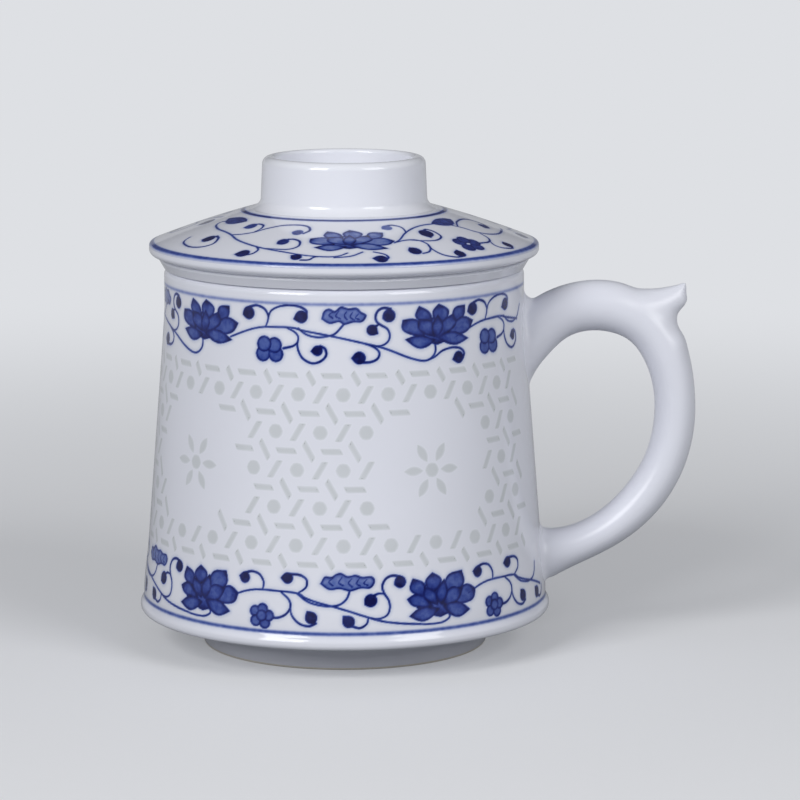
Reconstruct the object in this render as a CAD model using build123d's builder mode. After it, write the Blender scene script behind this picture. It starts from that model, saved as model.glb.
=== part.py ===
from build123d import *
from math import cos, radians, sin
import os

# A lidded porcelain tea mug with rice-grain windows, in six nodes: the pierced cup
# body, its handle, the glaze that fills the windows of four rosettes, the infuser
# cup that hangs in the mouth, the lid dome and the hollow ring knob on the lid.
# Millimetres, +Z up. The origin is the centre of the foot, on the table, and the
# handle points along +X. Azimuths are counted from -Y and grow towards the handle.

# ---------------------------------------------------------------- driving dimensions
# Foot ring under the cup
foot_radius = 33.2
foot_top_radius = 34.6
foot_height = 4.8
foot_ring_width = 3.6
foot_recess = 3.3
foot_round = 0.7

# Cup wall, from the widest point of the belly up to the mouth
wall = 3.0
belly_radius = 48.2
belly_height = 11.6
belly_round = 4.3
underside_rise = 2.7
flare_radius = 46.15
flare_height = 24.6
shoulder_radius = 42.25
shoulder_height = 74.0
mouth_radius = 41.9
collar_height = 81.0
cup_height = 88.7
rim_outer_round = 1.6
rim_inner_round = 0.8
floor_thickness = 4.7
cavity_round = 9.0

# Rice-grain windows: holes through the wall, filled with clear glaze
window_overcut = 1.0
medallion_count = 4
medallion_height = 47.6
medallion_pitch_angle = 75.8
first_medallion_angle = 27.1
petal_count = 6
petal_ring_radius = 4.5
petal_length = 4.6
petal_width = 2.0
rosette_heart_radius = 1.5

# Handle: an ear with a pointed thumb spur at its outer corner
handle_reach = 82.1
handle_top = 85.3
handle_width = 11.8
arch_thickness = 11.8
arch_start = 14.9
grip_thickness = 9.6
grip_height = 55.0
leg_thickness = 8.8
upper_root_height = 70.0
lower_root_height = 20.2
root_thickness = 11.8
root_width = 13.6
spur_tip_reach = 80.4
spur_tip_height = 84.7
spur_tip_radius = 1.0
spur_root_thickness = 15.5
spur_root_width = 9.0
spur_neck_thickness = 12.6
spur_neck_width = 8.0
spur_blade_thickness = 6.4
spur_blade_width = 5.2

# Infuser cup that hangs in the mouth by its flange
infuser_clearance = 0.8
infuser_wall = 2.4
infuser_depth = 52.0
infuser_taper = 4.4
infuser_round = 8.0
flange_thickness = 2.6
flange_foot_radius = 41.9
flange_radius = 43.4
flange_round = 0.5
flange_bore_round = 1.0
infuser_hole_diameter = 2.0
side_hole_rows = 4
side_hole_count = 24
side_hole_pitch = 6.0
first_side_hole = 12.0
floor_hole_rings = 4
floor_ring_pitch = 6.0
first_ring_holes = 6

# Lid
lid_radius = 45.35
lid_bevel_rise = 1.9
lid_edge_rise = 3.1
lid_edge_round = 0.7
crown_radius = 22.0
crown_height = 102.4
dome_bulge = 0.33
lid_thickness = 3.1
skirt_depth = 5.0
skirt_wall = 2.6
skirt_clearance = 0.5
skirt_round = 0.9

# Ring knob on the lid, which also serves as a foot when the lid is turned over
knob_height = 12.0
knob_radius = 18.9
knob_waist_radius = 19.2
knob_wall = 3.3
knob_foot_spread = 2.6
knob_foot_rise = 3.6
knob_outer_round = 1.5
knob_inner_round = 1.2

# ---------------------------------------------------------------- derived places
floor_top = foot_recess + floor_thickness
ring_inner_radius = foot_radius - foot_ring_width
cavity_mouth_radius = mouth_radius - wall
flange_top = cup_height + flange_thickness
infuser_radius = cavity_mouth_radius - infuser_clearance
infuser_bore = infuser_radius - infuser_wall
infuser_bottom = cup_height - infuser_depth
infuser_floor = infuser_bottom + infuser_wall
infuser_foot_radius = infuser_radius - infuser_taper
skirt_radius = infuser_bore - skirt_clearance
skirt_bore = skirt_radius - skirt_wall
skirt_bottom = flange_top - skirt_depth
lid_edge_height = flange_top + lid_edge_rise
knob_bore = knob_radius - knob_wall
knob_top = crown_height + knob_height

# The outer flank of the cup, in radius and height: a flare over the belly, a straight
# taper that carries the windows, and a turn into the upright collar.
taper = (shoulder_radius - flare_radius, shoulder_height - flare_height)
with BuildLine() as flank:
    flare_curve = Spline(
        (belly_radius, belly_height),
        (flare_radius, flare_height),
        tangents=[(0, 1), taper],
    )
    taper_line = Line((flare_radius, flare_height), (shoulder_radius, shoulder_height))
    shoulder_curve = Spline(
        (shoulder_radius, shoulder_height),
        (mouth_radius, collar_height),
        tangents=[taper, (0, 1)],
    )


def flare_place(height):
    """How far along the flare, from 0 to 1, it passes a height."""
    low, high = 0.0, 1.0
    while high - low > 1e-6:
        middle = (low + high) / 2
        if (flare_curve @ middle).Y < height:
            low = middle
        else:
            high = middle
    return low


def wall_radius(height):
    """The outside radius of the cup at a height on its flank."""
    if height < flare_height:
        return (flare_curve @ flare_place(height)).X
    return flare_radius + (height - flare_height) * taper[0] / taper[1]


# ---------------------------------------------------------------- cup, before piercing
# The outside of the cup as a filled form, then the same form with its hollow turned out.
with BuildPart() as cup_form:
    with BuildSketch(Plane.XZ):
        with BuildLine():
            FilletPolyline(
                (0, foot_recess),
                (ring_inner_radius, foot_recess),
                (ring_inner_radius, 0),
                (foot_radius, 0),
                (foot_top_radius, foot_height),
                radius=foot_round,
            )
            FilletPolyline(
                (foot_top_radius, foot_height),
                (belly_radius, foot_height + underside_rise),
                (belly_radius, belly_height),
                radius=belly_round,
            )
            add(flank.line)
            rim_start = (mouth_radius, cup_height - rim_outer_round)
            Line((mouth_radius, collar_height), rim_start)
            rim = CenterArc(
                (mouth_radius - rim_outer_round, cup_height - rim_outer_round), rim_outer_round, 0, 90
            )
            Polyline(rim @ 1, (0, cup_height), (0, foot_recess))
        make_face()
    revolve(axis=Axis.Z)

with BuildPart() as cup_blank:
    add(cup_form.part)
    with BuildSketch(Plane.XZ):
        with BuildLine():
            inward = Location((-wall, 0, 0))
            inner_flare = flare_curve.trim(flare_place(floor_top + cavity_round), 1.0).moved(inward)
            floor_edge = ((inner_flare @ 0).X - cavity_round, floor_top)
            Line((0, floor_top), floor_edge)
            Spline(floor_edge, inner_flare @ 0, tangents=[(1, 0), inner_flare % 0])
            add(inner_flare)
            add(taper_line.moved(inward))
            add(shoulder_curve.moved(inward))
            rim_lip = (cavity_mouth_radius + rim_inner_round, cup_height - rim_inner_round)
            Line((cavity_mouth_radius, collar_height), (cavity_mouth_radius, rim_lip[1]))
            CenterArc(rim_lip, rim_inner_round, 180, -90)
            above = cup_height + wall
            Polyline((rim_lip[0], cup_height), (rim_lip[0], above), (0, above), (0, floor_top))
        make_face()
    revolve(axis=Axis.Z, mode=Mode.SUBTRACT)

# ---------------------------------------------------------------- rice-grain windows
# A rosette of windows stands in each medallion: a heart and a ring of grain-shaped
# petals, cut straight through the wall.
window_start = cavity_mouth_radius - window_overcut
window_depth = belly_radius + window_overcut - window_start
petal_shoulder = petal_length / 6
medallion_turns = [radians(first_medallion_angle - medallion_pitch_angle * i) for i in range(medallion_count)]
medallion_planes = [
    Plane(origin=(0, 0, medallion_height), x_dir=(cos(turn), sin(turn), 0), z_dir=(sin(turn), -cos(turn), 0))
    for turn in medallion_turns
]

with BuildPart() as rosette_cutters:
    with BuildSketch(*[plane.offset(window_start) for plane in medallion_planes]):
        RegularPolygon(rosette_heart_radius, petal_count)
        with PolarLocations(petal_ring_radius, petal_count):
            Polygon(
                (-petal_length / 2, 0),
                (-petal_shoulder, -petal_width / 2),
                (petal_shoulder, -petal_width / 2),
                (petal_length / 2, 0),
                (petal_shoulder, petal_width / 2),
                (-petal_shoulder, petal_width / 2),
            )
    extrude(amount=window_depth)

with BuildPart() as cup_body:
    add(cup_blank.part)
    add(rosette_cutters.part, mode=Mode.SUBTRACT)

# The glaze that fills the windows is what the cutters take out of the wall.
with BuildPart() as rosette_window_glaze:
    add(rosette_cutters.part)
    add(cup_blank.part, mode=Mode.INTERSECT)

# ---------------------------------------------------------------- handle
# The middle line of the ear runs from inside the wall over the arch, down the grip
# and along the leg back into the wall, which trims both ends.
arch_place = (wall_radius(upper_root_height) + arch_start, handle_top - arch_thickness / 2)
grip_place = (handle_reach - grip_thickness / 2, grip_height)
upper_place = (wall_radius(upper_root_height), upper_root_height)
lower_place = (wall_radius(lower_root_height), lower_root_height)


def between(start, end, share_out, share_up):
    """A place between two others, by its share of the way along X and along Z."""
    return Vector(
        start[0] + share_out * (end[0] - start[0]),
        0,
        start[1] + share_up * (end[1] - start[1]),
    )


# Each station of the ear: its place, then its thickness in the handle's plane and its width.
handle_stations = [
    (between(upper_place, arch_place, -0.27, -0.58), root_thickness, root_width),
    (between(upper_place, arch_place, 0.05, 0.19), root_thickness, root_width),
    (between(upper_place, arch_place, 0.46, 0.76), arch_thickness, handle_width * 1.04),
    (between(upper_place, arch_place, 1.0, 1.0), arch_thickness, handle_width),
    (between(arch_place, grip_place, 0.38, 0.04), arch_thickness, handle_width),
    (between(arch_place, grip_place, 0.69, 0.2), arch_thickness * 0.95, handle_width),
    (between(arch_place, grip_place, 0.9, 0.48), grip_thickness * 1.08, handle_width),
    (between(arch_place, grip_place, 0.995, 0.8), grip_thickness, handle_width),
    (between(lower_place, grip_place, 1.0, 0.9), grip_thickness, handle_width),
    (between(lower_place, grip_place, 0.93, 0.64), grip_thickness, handle_width),
    (between(lower_place, grip_place, 0.77, 0.4), grip_thickness, handle_width),
    (between(lower_place, grip_place, 0.56, 0.22), leg_thickness * 1.03, handle_width),
    (between(lower_place, grip_place, 0.344, 0.106), leg_thickness, handle_width),
    (between(lower_place, grip_place, 0.136, 0.037), leg_thickness * 1.15, handle_width * 1.04),
    (between(lower_place, grip_place, -0.02, 0.003), leg_thickness * 1.5, root_width),
    (between(lower_place, grip_place, -0.15, -0.017), leg_thickness * 1.9, root_width * 1.1),
]
handle_path = Spline(*[place for place, _, _ in handle_stations])

with BuildPart() as handle:
    for place, thickness, width in handle_stations:
        heading = handle_path % handle_path.param_at_point(place)
        with BuildSketch(Plane(origin=place, x_dir=(0, 1, 0), z_dir=heading)):
            Ellipse(width / 2, thickness / 2)
    loft()
    # The spur leaves the outer corner of the ear and narrows to a rounded tip.
    spur_tip = Vector(spur_tip_reach - spur_tip_radius, 0, spur_tip_height - spur_tip_radius)
    spur_way = spur_tip - between(arch_place, grip_place, 0.63, 0.16)
    spur_sections = [
        (1.0, spur_root_thickness, spur_root_width),
        (0.58, spur_neck_thickness, spur_neck_width),
        (0.26, spur_blade_thickness, spur_blade_width),
        (0.0, 2 * spur_tip_radius, 2 * spur_tip_radius),
    ]
    for share, thickness, width in spur_sections:
        with BuildSketch(Plane(origin=spur_tip - spur_way * share, x_dir=(0, 1, 0), z_dir=spur_way)):
            Ellipse(width / 2, thickness / 2)
    loft()
    with Locations(spur_tip):
        Sphere(spur_tip_radius)
    add(cup_form.part, mode=Mode.SUBTRACT)

# ---------------------------------------------------------------- infuser cup
def corner_at(section, radius, height):
    """The corner of a turned section that lies nearest to a radius and height."""
    return section.vertices().sort_by_distance((radius, height))[0]


with BuildPart() as infuser_cup:
    with BuildSketch(Plane.XZ) as infuser_section:
        with BuildLine():
            Polyline(
                (0, infuser_bottom),
                (infuser_foot_radius, infuser_bottom),
                (infuser_radius, cup_height),
                (flange_foot_radius, cup_height),
                (flange_radius, flange_top),
                (infuser_bore, flange_top),
                (infuser_foot_radius - infuser_wall, infuser_floor),
                (0, infuser_floor),
                close=True,
            )
        make_face()
        fillet(corner_at(infuser_section, infuser_foot_radius, infuser_bottom), infuser_round)
        inner_foot = corner_at(infuser_section, infuser_foot_radius - infuser_wall, infuser_floor)
        fillet(inner_foot, infuser_round - infuser_wall)
        fillet(corner_at(infuser_section, flange_radius, flange_top), flange_round)
        fillet(corner_at(infuser_section, infuser_bore, flange_top), flange_bore_round)
    revolve(axis=Axis.Z)
    side_hole_planes = [
        Plane(
            origin=(0, 0, infuser_bottom + first_side_hole + row * side_hole_pitch),
            x_dir=(-sin(radians(angle)), cos(radians(angle)), 0),
            z_dir=(cos(radians(angle)), sin(radians(angle)), 0),
        )
        for row in range(side_hole_rows)
        for angle in [360 / side_hole_count * (column + row % 2 / 2) for column in range(side_hole_count)]
    ]
    with BuildSketch(*side_hole_planes):
        Circle(infuser_hole_diameter / 2)
    extrude(amount=infuser_radius, mode=Mode.SUBTRACT)
    with BuildSketch(Plane.XY.offset(infuser_bottom)):
        Circle(infuser_hole_diameter / 2)
        for ring in range(1, floor_hole_rings + 1):
            with PolarLocations(ring * floor_ring_pitch, first_ring_holes * ring):
                Circle(infuser_hole_diameter / 2)
    extrude(amount=infuser_wall, mode=Mode.SUBTRACT)

# ---------------------------------------------------------------- lid
with BuildPart() as lid_dome:
    with BuildSketch(Plane.XZ) as lid_section:
        with BuildLine():
            seat = Line((skirt_radius, flange_top), (flange_radius - flange_round, flange_top))
            bevel = Line(seat @ 1, (lid_radius, flange_top + lid_bevel_rise))
            edge = Line(bevel @ 1, (lid_radius, lid_edge_height))
            crown_edge = Vector(crown_radius, crown_height)
            dome_middle = (crown_edge + edge @ 1) / 2 + Vector(0, dome_bulge)
            ThreePointArc(edge @ 1, dome_middle, crown_edge)
            ceiling = crown_height - lid_thickness
            Polyline(
                crown_edge,
                (0, crown_height),
                (0, ceiling),
                (crown_radius, ceiling),
                (skirt_bore, dome_middle.Y - lid_thickness),
                (skirt_bore, skirt_bottom),
                (skirt_radius, skirt_bottom),
                (skirt_radius, flange_top),
            )
        make_face()
        fillet(corner_at(lid_section, lid_radius, flange_top + lid_bevel_rise), lid_edge_round)
        fillet(corner_at(lid_section, lid_radius, lid_edge_height), lid_edge_round)
        fillet(lid_section.vertices().group_by(Axis.Y)[0], skirt_round)
    revolve(axis=Axis.Z)

with BuildPart() as lid_knob:
    with BuildSketch(Plane.XZ) as knob_section:
        with BuildLine():
            foot_out = knob_waist_radius + knob_foot_spread
            foot_in = knob_bore - knob_foot_spread / 2
            waist = crown_height + knob_foot_rise
            bore_foot = crown_height + knob_foot_rise / 2
            TangentArc((knob_waist_radius, waist), (foot_out, crown_height), tangent=(0, -1))
            Line((foot_out, crown_height), (foot_in, crown_height))
            TangentArc((knob_bore, bore_foot), (foot_in, crown_height), tangent=(0, -1))
            Polyline(
                (knob_bore, bore_foot),
                (knob_bore, knob_top),
                (knob_radius, knob_top),
                (knob_waist_radius, waist),
            )
        make_face()
        fillet(corner_at(knob_section, knob_radius, knob_top), knob_outer_round)
        fillet(corner_at(knob_section, knob_bore, knob_top), knob_inner_round)
    revolve(axis=Axis.Z)

# ---------------------------------------------------------------- files
pieces = {
    "cup_body": cup_body,
    "handle": handle,
    "rosette_window_glaze": rosette_window_glaze,
    "infuser_cup": infuser_cup,
    "lid_dome": lid_dome,
    "lid_knob": lid_knob,
}
os.makedirs("parts", exist_ok=True)
for name, piece in pieces.items():
    piece.part.label = name
    export_step(piece.part, f"parts/{name}.step")
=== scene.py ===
"""Dresses a lidded porcelain tea mug: fine glazed skins with underglaze scroll bands,
rice-grain glaze windows, a soft-rooted handle, and the studio that it stands in.

The frame's unit is the metre. Sizes in the classes are millimetres, as a potter's
drawing gives them, and are scaled when a mesh is made. +Z is up, the origin is the
centre of the foot, and the handle points along +X. Azimuths are degrees, counted from
-Y and growing towards the handle.
"""

import logging
import math
from dataclasses import dataclass, field, replace
from enum import Enum

import bmesh
import bpy
import numpy as np
from mathutils import Matrix, Vector


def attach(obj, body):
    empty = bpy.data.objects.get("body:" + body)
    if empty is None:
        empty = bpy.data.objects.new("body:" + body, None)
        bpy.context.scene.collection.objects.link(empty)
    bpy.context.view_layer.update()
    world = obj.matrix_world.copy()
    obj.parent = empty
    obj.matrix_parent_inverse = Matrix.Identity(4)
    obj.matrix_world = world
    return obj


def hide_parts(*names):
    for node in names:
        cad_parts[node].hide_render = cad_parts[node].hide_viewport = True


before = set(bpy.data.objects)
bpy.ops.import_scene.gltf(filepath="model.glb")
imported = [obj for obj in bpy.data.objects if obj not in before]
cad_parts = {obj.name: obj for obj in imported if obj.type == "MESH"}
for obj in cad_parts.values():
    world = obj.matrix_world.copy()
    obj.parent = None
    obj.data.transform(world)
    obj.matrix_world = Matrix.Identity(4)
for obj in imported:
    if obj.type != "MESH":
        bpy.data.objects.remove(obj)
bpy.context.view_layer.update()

log = logging.getLogger("tea_mug")
MM = 0.001
HANDLE_AZIMUTH = 90.0
WHOLE_TURN = 360.0
LINE_BLEED = 0.13
LINE_SOFT = 0.16
LINE_HALO = 0.55
RING_HALO = 0.6
WASH_BLEED = 0.16
WASH_HALO = 0.6
WASH_EDGE = (-0.16, 0.1)
LATTICE_LEAN = math.radians(60.0)
Point = tuple[float, float]
Point3 = tuple[float, float, float]
Route = tuple[Point, ...]
Colour = tuple[int, int, int]
Pools = tuple[tuple[np.ndarray, float, float], ...]


# ---------------------------------------------------------------- small helpers
def smoothstep(low: float, high: float, value: np.ndarray) -> np.ndarray:
    """A soft step from 0 where the value is low to 1 where it is high."""
    share = np.clip((value - low) / (high - low), 0.0, 1.0)
    return share * share * (3.0 - 2.0 * share)


def linear_colour(*display: int) -> tuple[float, ...]:
    """Turns a display colour, 0 to 255, into a shader's linear colour with an alpha of 1."""
    shares = [value / 255.0 for value in display]
    return (*(s / 12.92 if s <= 0.04045 else ((s + 0.055) / 1.055) ** 2.4 for s in shares), 1.0)


def smooth_route(route: Route, pieces: int = 8) -> np.ndarray:
    """Draws a smooth line through given points.

    Args:
        route: The points that the line passes through.
        pieces: How many short runs each stretch gets.

    Returns:
        The points of the line, one row each.
    """
    knots = np.array(route, float)
    padded = np.vstack([2 * knots[0] - knots[1], knots, 2 * knots[-1] - knots[-2]])
    steps = np.linspace(0.0, 1.0, pieces, endpoint=False)[:, None]
    runs = []
    for before, start, end, after in zip(padded, padded[1:], padded[2:], padded[3:]):
        bend = 2 * start + (end - before) * steps
        bend = bend + (2 * before - 5 * start + 4 * end - after) * steps**2
        bend = bend + (3 * start - before - 3 * end + after) * steps**3
        runs.append(bend / 2)
    return np.vstack([*runs, knots[-1:]])


def leaf_outline(
    base: Point, tip: Point, left: Point, right: Point, pieces: int = 10, sharpness: float = 0.0
) -> np.ndarray:
    """Draws a leaf or petal whose two sides bow out through one point each.

    Args:
        base: Where both sides start.
        tip: Where both sides end.
        left: The middle of one side.
        right: The middle of the other side.
        pieces: How many runs each side gets.
        sharpness: How much the tip is drawn out to a point, from 0 to 1.

    Returns:
        The closed outline's points, one row each.
    """
    start, end = np.array(base, float), np.array(tip, float)
    steps = np.linspace(0.0, 1.0, pieces, endpoint=False)[:, None]
    sides = []
    for along, middle in ((steps, left), (1 - steps, right)):
        bow = 4 * along * (1 - along)
        drawn = np.where(along > 0.5, (1 - np.cos(2 * math.pi * along)) / 2, bow)
        swell = bow + (drawn - bow) * sharpness
        sides.append(start + (end - start) * along + (np.array(middle, float) - (start + end) / 2) * swell)
    return np.vstack(sides)


def bud_outline(middle: np.ndarray, radius: float, point: np.ndarray, pieces: int = 14) -> np.ndarray:
    """Draws a round bud that is drawn out to a point.

    Args:
        middle: The middle of the round end.
        radius: The radius of the round end.
        point: The sharp end.
        pieces: How many runs the round end gets.

    Returns:
        The closed outline's points, one row each.
    """
    way = point - middle
    reach = min(max(float(np.hypot(*way)), radius * 1.01), radius * 1.36)
    sharp = middle + way / np.hypot(*way) * reach
    leave = math.acos(radius / reach)
    turns = math.atan2(way[1], way[0]) + np.linspace(leave, 2 * math.pi - leave, pieces)
    rim = middle + radius * np.stack([np.cos(turns), np.sin(turns)], 1)
    return np.vstack([sharp[None], rim])


# ---------------------------------------------------------------- turned outlines
@dataclass
class Outline:
    """Half of a turned section: points in radius and height, with outward normals."""

    points: np.ndarray
    normals: np.ndarray

    @classmethod
    def running(cls, points: np.ndarray, ways: np.ndarray) -> "Outline":
        """Makes an outline of points and of the directions in which it runs through them."""
        ways = ways / np.linalg.norm(ways, axis=1)[:, None]
        return cls(points, np.stack([ways[:, 1], -ways[:, 0]], 1))

    @classmethod
    def rounded(cls, *corners: tuple[float, ...], pieces: int = 8) -> "Outline":
        """Makes straight runs whose corners are rounded.

        Args:
            corners: Radius and height of each corner, and between the ends its rounding.
            pieces: How many runs a rounded corner gets.

        Returns:
            The outline.
        """
        places = np.array([corner[:2] for corner in corners], float)
        ways = np.diff(places, axis=0)
        ways = ways / np.linalg.norm(ways, axis=1)[:, None]
        outs = np.stack([ways[:, 1], -ways[:, 0]], 1)
        points, normals = [places[0]], [outs[0]]
        for place, corner, before, after, out in zip(places[1:], corners[1:], ways, ways[1:], outs):
            turn = math.atan2(before[0] * after[1] - before[1] * after[0], float(before @ after))
            radius = corner[2] * math.copysign(1.0, turn)
            centre = place - before * corner[2] * math.tan(abs(turn) / 2) - out * radius
            for step in np.linspace(0.0, turn, pieces + 1):
                spin = np.array([[math.cos(step), -math.sin(step)], [math.sin(step), math.cos(step)]])
                normals.append(spin @ out)
                points.append(centre + normals[-1] * radius)
        return cls(np.array([*points, places[-1]]), np.array([*normals, outs[-1]]))

    @classmethod
    def curved(cls, start: Point, start_way: Point, end: Point, end_way: Point, pieces: int) -> "Outline":
        """Makes a smooth curve that leaves and arrives in given directions.

        Args:
            start: Radius and height of the first point.
            start_way: The direction in which the curve leaves.
            end: Radius and height of the last point.
            end_way: The direction in which the curve arrives.
            pieces: How many runs the curve gets.

        Returns:
            The outline.
        """
        first, last = np.array(start, float), np.array(end, float)
        span = float(np.linalg.norm(last - first))
        leave, arrive = (np.array(way, float) / np.hypot(*way) * span for way in (start_way, end_way))
        t = np.linspace(0.0, 1.0, pieces + 1)[:, None]
        points = (2 * t**3 - 3 * t**2 + 1) * first + (t**3 - 2 * t**2 + t) * leave
        points = points + (3 * t**2 - 2 * t**3) * last + (t**3 - t**2) * arrive
        ways = (6 * t**2 - 6 * t) * (first - last) + (3 * t**2 - 4 * t + 1) * leave
        return cls.running(points, ways + (3 * t**2 - 2 * t) * arrive)

    @classmethod
    def joined(cls, first: "Outline", *others: "Outline") -> "Outline":
        """Joins outlines end to end, with the doubled points left out."""
        points = np.vstack([first.points, *(other.points[1:] for other in others)])
        return cls(points, np.vstack([first.normals, *(other.normals[1:] for other in others)]))

    def reversed_inwards(self, wall: float) -> "Outline":
        """The inner face of a wall of this outline, run the other way."""
        return Outline(self.points[::-1] - np.array([wall, 0.0]), -self.normals[::-1])

    def lengths(self) -> np.ndarray:
        """How far along the outline each point lies."""
        return np.concatenate([[0.0], np.cumsum(np.linalg.norm(np.diff(self.points, axis=0), axis=1))])

    def between(self, axis: int, first: float, last: float, spacing: float) -> "Outline":
        """Cuts out a stretch and divides it evenly.

        Args:
            axis: 0 to cut at two radii, 1 to cut at two heights.
            first: The radius or height where the stretch starts.
            last: The radius or height where it ends.
            spacing: The widest gap between its points.

        Returns:
            The stretch.
        """
        along, side = self.lengths(), math.copysign(1.0, last - first)
        start, end = np.interp([first * side, last * side], self.points[:, axis] * side, along)
        places = np.linspace(start, end, max(2, math.ceil((end - start) / spacing) + 1))
        points, normals = (
            np.stack([np.interp(places, along, values[:, column]) for column in (0, 1)], 1)
            for values in (self.points, self.normals)
        )
        return Outline(points, normals / np.linalg.norm(normals, axis=1)[:, None])

    def radius_at(self, height: float) -> float:
        """The radius of a rising outline at a height."""
        return float(np.interp(height, self.points[:, 1], self.points[:, 0]))


def turned_skin(
    name: str,
    outline: Outline,
    columns: int,
    ink: np.ndarray | None = None,
    start: float = HANDLE_AZIMUTH - WHOLE_TURN,
    span: float = WHOLE_TURN,
) -> bpy.types.Object:
    """Turns an outline into a smooth mesh with exact normals and its own UV map.

    Args:
        name: The piece's name.
        outline: The turned section, in millimetres.
        columns: How many columns of faces the skin has.
        ink: The density of cobalt, one row of columns for each point of the outline.
        start: The azimuth where the skin starts.
        span: How far round it goes; a whole turn is closed.

    Returns:
        The new object.
    """
    turns = np.radians(np.linspace(start, start + span, columns + 1))
    turns = turns[:-1] if span >= WHOLE_TURN else turns
    around = np.stack([np.sin(turns), -np.cos(turns)], 1)
    vertices, normals, rows = [], [], []
    for (radius, height), (out, up) in zip(outline.points, outline.normals):
        pole = radius < 1e-6
        ring = around[:1] * 0.0 if pole else around
        rows.append((len(vertices), pole))
        vertices.extend(np.column_stack([ring * radius * MM, np.full(len(ring), height * MM)]).tolist())
        normals.extend(np.column_stack([ring * out, np.full(len(ring), up)]).tolist())
    faces, corners = [], []
    along = outline.lengths() / outline.lengths()[-1]
    for (low, low_pole), (high, high_pole), below, above in zip(rows, rows[1:], along, along[1:]):
        for column in range(columns):
            after = (column + 1) % len(turns)
            left, right = column / columns, (column + 1) / columns
            face = [(low + column, left, below), (low + after, right, below)]
            face += [(high + after, right, above), (high + column, left, above)]
            if low_pole:
                face = [(low, left, below), *face[2:]]
            if high_pole:
                face = [*face[:2], (high, left, above)]
            faces.append([corner[0] for corner in face])
            corners.extend([corner[1:] for corner in face])
    mesh = smooth_mesh(name, vertices, faces)
    mesh.uv_layers.new(name="OFBake").data.foreach_set("uv", np.array(corners, np.float32).ravel())
    if ink is not None:
        keep_values(mesh, cobalt=ink.ravel())
    mesh.normals_split_custom_set_from_vertices(normals)
    return placed(name, mesh)


def painted_sectors(name: str, outline: Outline, ink: np.ndarray, columns: int) -> list[bpy.types.Object]:
    """Splits a painted band into four sectors, so that each keeps a fine pattern.

    Args:
        name: The band's name.
        outline: The band's section.
        ink: Its ink, from the handle all the way round to the handle.
        columns: The columns of the full turn.

    Returns:
        The four objects.
    """
    quarter = columns // 4
    made = []
    for index in range(4):
        share = ink[:, quarter * index : quarter * (index + 1) + 1]
        start = HANDLE_AZIMUTH - WHOLE_TURN + 90.0 * index
        made.append(turned_skin(f"{name}_{index + 1}", outline, quarter, share, start, 90.0))
    return made


def smooth_mesh(name: str, vertices: list, faces: list) -> bpy.types.Mesh:
    """Makes a mesh whose faces are shaded smooth."""
    mesh = bpy.data.meshes.new(name)
    mesh.from_pydata(vertices, [], faces)
    mesh.polygons.foreach_set("use_smooth", [True] * len(faces))
    return mesh


def keep_values(mesh: bpy.types.Mesh, **columns: np.ndarray) -> None:
    """Keeps a named number or vector on each point of a mesh."""
    for key, values in columns.items():
        if values.ndim == 2:
            kind, part, number = "FLOAT_VECTOR", "vector", np.float32
        elif values.dtype.kind == "i":
            kind, part, number = "INT", "value", np.int32
        else:
            kind, part, number = "FLOAT", "value", np.float32
        mesh.attributes.new(key, kind, "POINT").data.foreach_set(part, values.astype(number).ravel())


def placed(name: str, data: bpy.types.ID) -> bpy.types.Object:
    """Makes an object of a mesh, lamp or camera and puts it into the scene."""
    piece = bpy.data.objects.new(name, data)
    bpy.context.scene.collection.objects.link(piece)
    return piece


def baked(piece: bpy.types.Object) -> bpy.types.Object:
    """Turns a piece with modifiers into a plain mesh."""
    mesh = bpy.data.meshes.new_from_object(piece.evaluated_get(bpy.context.evaluated_depsgraph_get()))
    piece.modifiers.clear()
    piece.data = mesh
    return piece


def settle(
    piece: bpy.types.Object, body: str, slot: str, material: bpy.types.Material, *nodes: str
) -> None:
    """Dresses a finished piece and ties it to its body.

    Args:
        piece: The finished piece.
        body: The body that it rides on.
        slot: The name of a material slot; not used.
        material: Its finish.
        nodes: The nodes of the model that it stands for.
    """
    piece.data.materials.clear()
    piece.data.materials.append(material)
    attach(piece, body)
    if nodes:
        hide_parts(*nodes)
    log.info("%s rides on %s with %d faces", piece.name, body, len(piece.data.polygons))


# ---------------------------------------------------------------- node sheets
class NodeSheet:
    """A short way to lay out and link nodes."""

    def __init__(self, tree: bpy.types.NodeTree) -> None:
        """Keeps the tree that the nodes go into."""
        self.tree = tree

    def node(self, kind: str, inputs: dict | None = None, **settings: object) -> bpy.types.Node:
        """Adds a node.

        Args:
            kind: The node's type name.
            inputs: Values or output sockets for its inputs, by name or index.
            settings: The node's own settings.

        Returns:
            The node.
        """
        made = self.tree.nodes.new(kind)
        for key, value in settings.items():
            setattr(made, key, value)
        for key, value in (inputs or {}).items():
            if isinstance(value, bpy.types.NodeSocket):
                self.tree.links.new(value, made.inputs[key])
            else:
                made.inputs[key].default_value = value
        return made

    def out(self, kind: str, inputs: dict | None = None, **settings: object) -> bpy.types.NodeSocket:
        """Adds a node and gives its first output."""
        return self.node(kind, inputs, **settings).outputs[0]

    def math(self, operation: str, *values: object, **settings: object) -> bpy.types.NodeSocket:
        """Adds a math node and gives its result."""
        return self.out("ShaderNodeMath", dict(enumerate(values)), operation=operation, **settings)

    def spread(self, value: bpy.types.NodeSocket, low: float, high: float) -> bpy.types.NodeSocket:
        """Spreads a value of 0 to 1 between two others."""
        return self.out("ShaderNodeMapRange", {"Value": value, "To Min": low, "To Max": high})


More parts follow.
